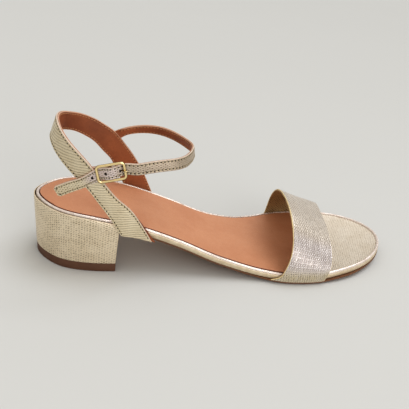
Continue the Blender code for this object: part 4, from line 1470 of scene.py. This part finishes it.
def make_buckle():
    """The frame, a flattened wire whose outer edge is where the solid's is, its centre bar and the prong."""
    inset = (FRAME_WIDTH - BUCKLE_WIRE) / 2
    half_length = BUCKLE_LENGTH / 2 - inset
    half_height = BUCKLE_HALF_HEIGHT - inset
    points = []
    for quarter, (sx, sy) in enumerate(((1, 1), (-1, 1), (-1, -1), (1, -1))):
        for angle in (np.linspace(0, 1, FRAME_CORNER_STEPS) + quarter) * math.pi / 2:
            along = sx * (half_length - BUCKLE_CORNER) + BUCKLE_CORNER * math.cos(angle)
            across = sy * (half_height - BUCKLE_CORNER) + BUCKLE_CORNER * math.sin(angle)
            points.append(buckle_point(along, 0.0, across))
    points = resampled(np.array(points), FRAME_COUNT)
    wire_mesh("buckle_ring", points, FRAME_WIDTH, (0, -1, 0), True, ("buckle_frame",), 0.85, 2.2)
    at = np.linspace(0, len(BAR_BEND) - 1, WIRE_STEPS)
    across, out = (curve(at) for curve in row_curves(BAR_BEND, steady_curve))
    wire_mesh("buckle_bar", buckle_point(0.0, out * BAR_DROP, across * half_height), BAR_WIRE, (1, 0, 0.33))
    radius = BAR_WIRE / 2 + PRONG_GAP + PRONG_WIRE / 2
    angles = np.linspace(PRONG_EYE_START, PRONG_EYE_END, PRONG_EYE_STEPS)
    eye = buckle_point(radius * np.cos(angles), radius * np.sin(angles) - BAR_DROP)
    at = np.linspace(0, len(PRONG_SHANK) - 1, WIRE_STEPS)
    along, out, width = (curve(at) for curve in row_curves(PRONG_SHANK, smooth_curve))
    widths = np.concatenate([np.ones(len(eye)), width]) * PRONG_WIRE
    plane = (-math.sin(BUCKLE_TILT), 0, math.cos(BUCKLE_TILT))
    wire_mesh("buckle_pin", np.vstack([eye, bar_point(along, out)]), widths, plane, nodes=("buckle_prong",))


def make_floor():
    data = bpy.data.meshes.new("floor")
    corners = [(x * FLOOR_HALF, y * FLOOR_HALF, 0) for x, y in ((-1, -1), (1, -1), (1, 1), (-1, 1))]
    data.from_pydata(corners, [], [(0, 1, 2, 3)])
    finish = Finish("floor", Roughness=0.9, Specular_IOR_Level=0.1)
    finish.set(Base_Color=finish.mix(finish.noise(0.5), (206, 206, 203), (204, 204, 201)))
    data.materials.append(finish.material)
    new_object("floor", data)


def add_lamp(name, kind, place, turn, power, tone, **settings):
    """A lamp that shines down its own Z axis."""
    data = bpy.data.lights.new(name, kind)
    data.energy = power
    data.color = tone
    for key, value in settings.items():
        setattr(data, key, value)
    lamp = new_object(name, data)
    lamp.location = place
    lamp.rotation_euler = turn.to_euler()


def make_lights():
    """A pale room, brighter overhead and at the horizon, with a wide soft lamp above and a panel in front."""
    world = bpy.data.worlds.new("studio")
    bpy.context.scene.world = world
    world.use_nodes = True
    nodes, links = world.node_tree.nodes, world.node_tree.links
    parts = nodes.new("ShaderNodeSeparateXYZ")
    links.new(nodes.new("ShaderNodeTexCoord").outputs["Generated"], parts.inputs[0])
    level = nodes.new("ShaderNodeMath")
    for index, stops in enumerate(ROOM_RAMPS):
        ramp = nodes.new("ShaderNodeMapRange")
        for socket, value in zip(("From Min", "From Max", "To Min", "To Max"), stops):
            ramp.inputs[socket].default_value = value
        links.new(parts.outputs["Z"], ramp.inputs["Value"])
        links.new(ramp.outputs["Result"], level.inputs[index])
    background = nodes["Background"]
    background.inputs["Color"].default_value = ROOM_TONE
    links.new(level.outputs[0], background.inputs["Strength"])
    overhead = LAMP_FROM.to_track_quat("Z", "Y")
    add_lamp("overhead", "SUN", (0, 0, 0), overhead, LAMP_POWER, LAMP_TONE, angle=LAMP_ANGLE)
    panel = (PANEL_AIM - PANEL_PLACE).to_track_quat("-Z", "Y")
    add_lamp(
        "front_panel", "AREA", PANEL_PLACE, panel, PANEL_POWER, PANEL_TONE, shape="RECTANGLE",
        size=PANEL_WIDTH, size_y=PANEL_HEIGHT, spread=PANEL_SPREAD,
    )


def make_camera():
    yaw, pitch, roll = (math.radians(a) for a in (PHOTO_YAW, PHOTO_PITCH, PHOTO_ROLL))
    ahead = Vector((math.sin(yaw) * math.cos(pitch), math.cos(yaw) * math.cos(pitch), -math.sin(pitch)))
    level = Vector((math.cos(yaw), -math.sin(yaw), 0))
    upright = level.cross(ahead)
    right = math.cos(roll) * level + math.sin(roll) * upright
    up = math.cos(roll) * upright - math.sin(roll) * level
    photo = Matrix((right, up, -ahead)).transposed()
    turn = ahead.rotation_difference(CAMERA_AIM - PHOTO_CAMERA).to_matrix()
    data = bpy.data.cameras.new("camera")
    data.sensor_width = SENSOR_WIDTH
    data.lens = SENSOR_WIDTH * PHOTO_FOCAL / PHOTO_SIZE * CAMERA_CLOSER
    data.clip_start = 0.01
    camera = new_object("camera", data)
    camera.matrix_world = Matrix.Translation(PHOTO_CAMERA) @ (turn @ photo).to_4x4()
    bpy.context.scene.camera = camera


def main():
    bpy.context.scene.view_settings.view_transform = "Standard"
    bpy.context.scene.view_settings.look = "Medium High Contrast"
    make_camera()
    make_lights()
    make_floor()
    make_materials()
    make_outsole()
    make_footbed()
    make_sock()
    make_heel()
    make_top_piece()
    make_vamp()
    make_quarter()
    make_ankle()
    make_tab()
    make_buckle()


main()
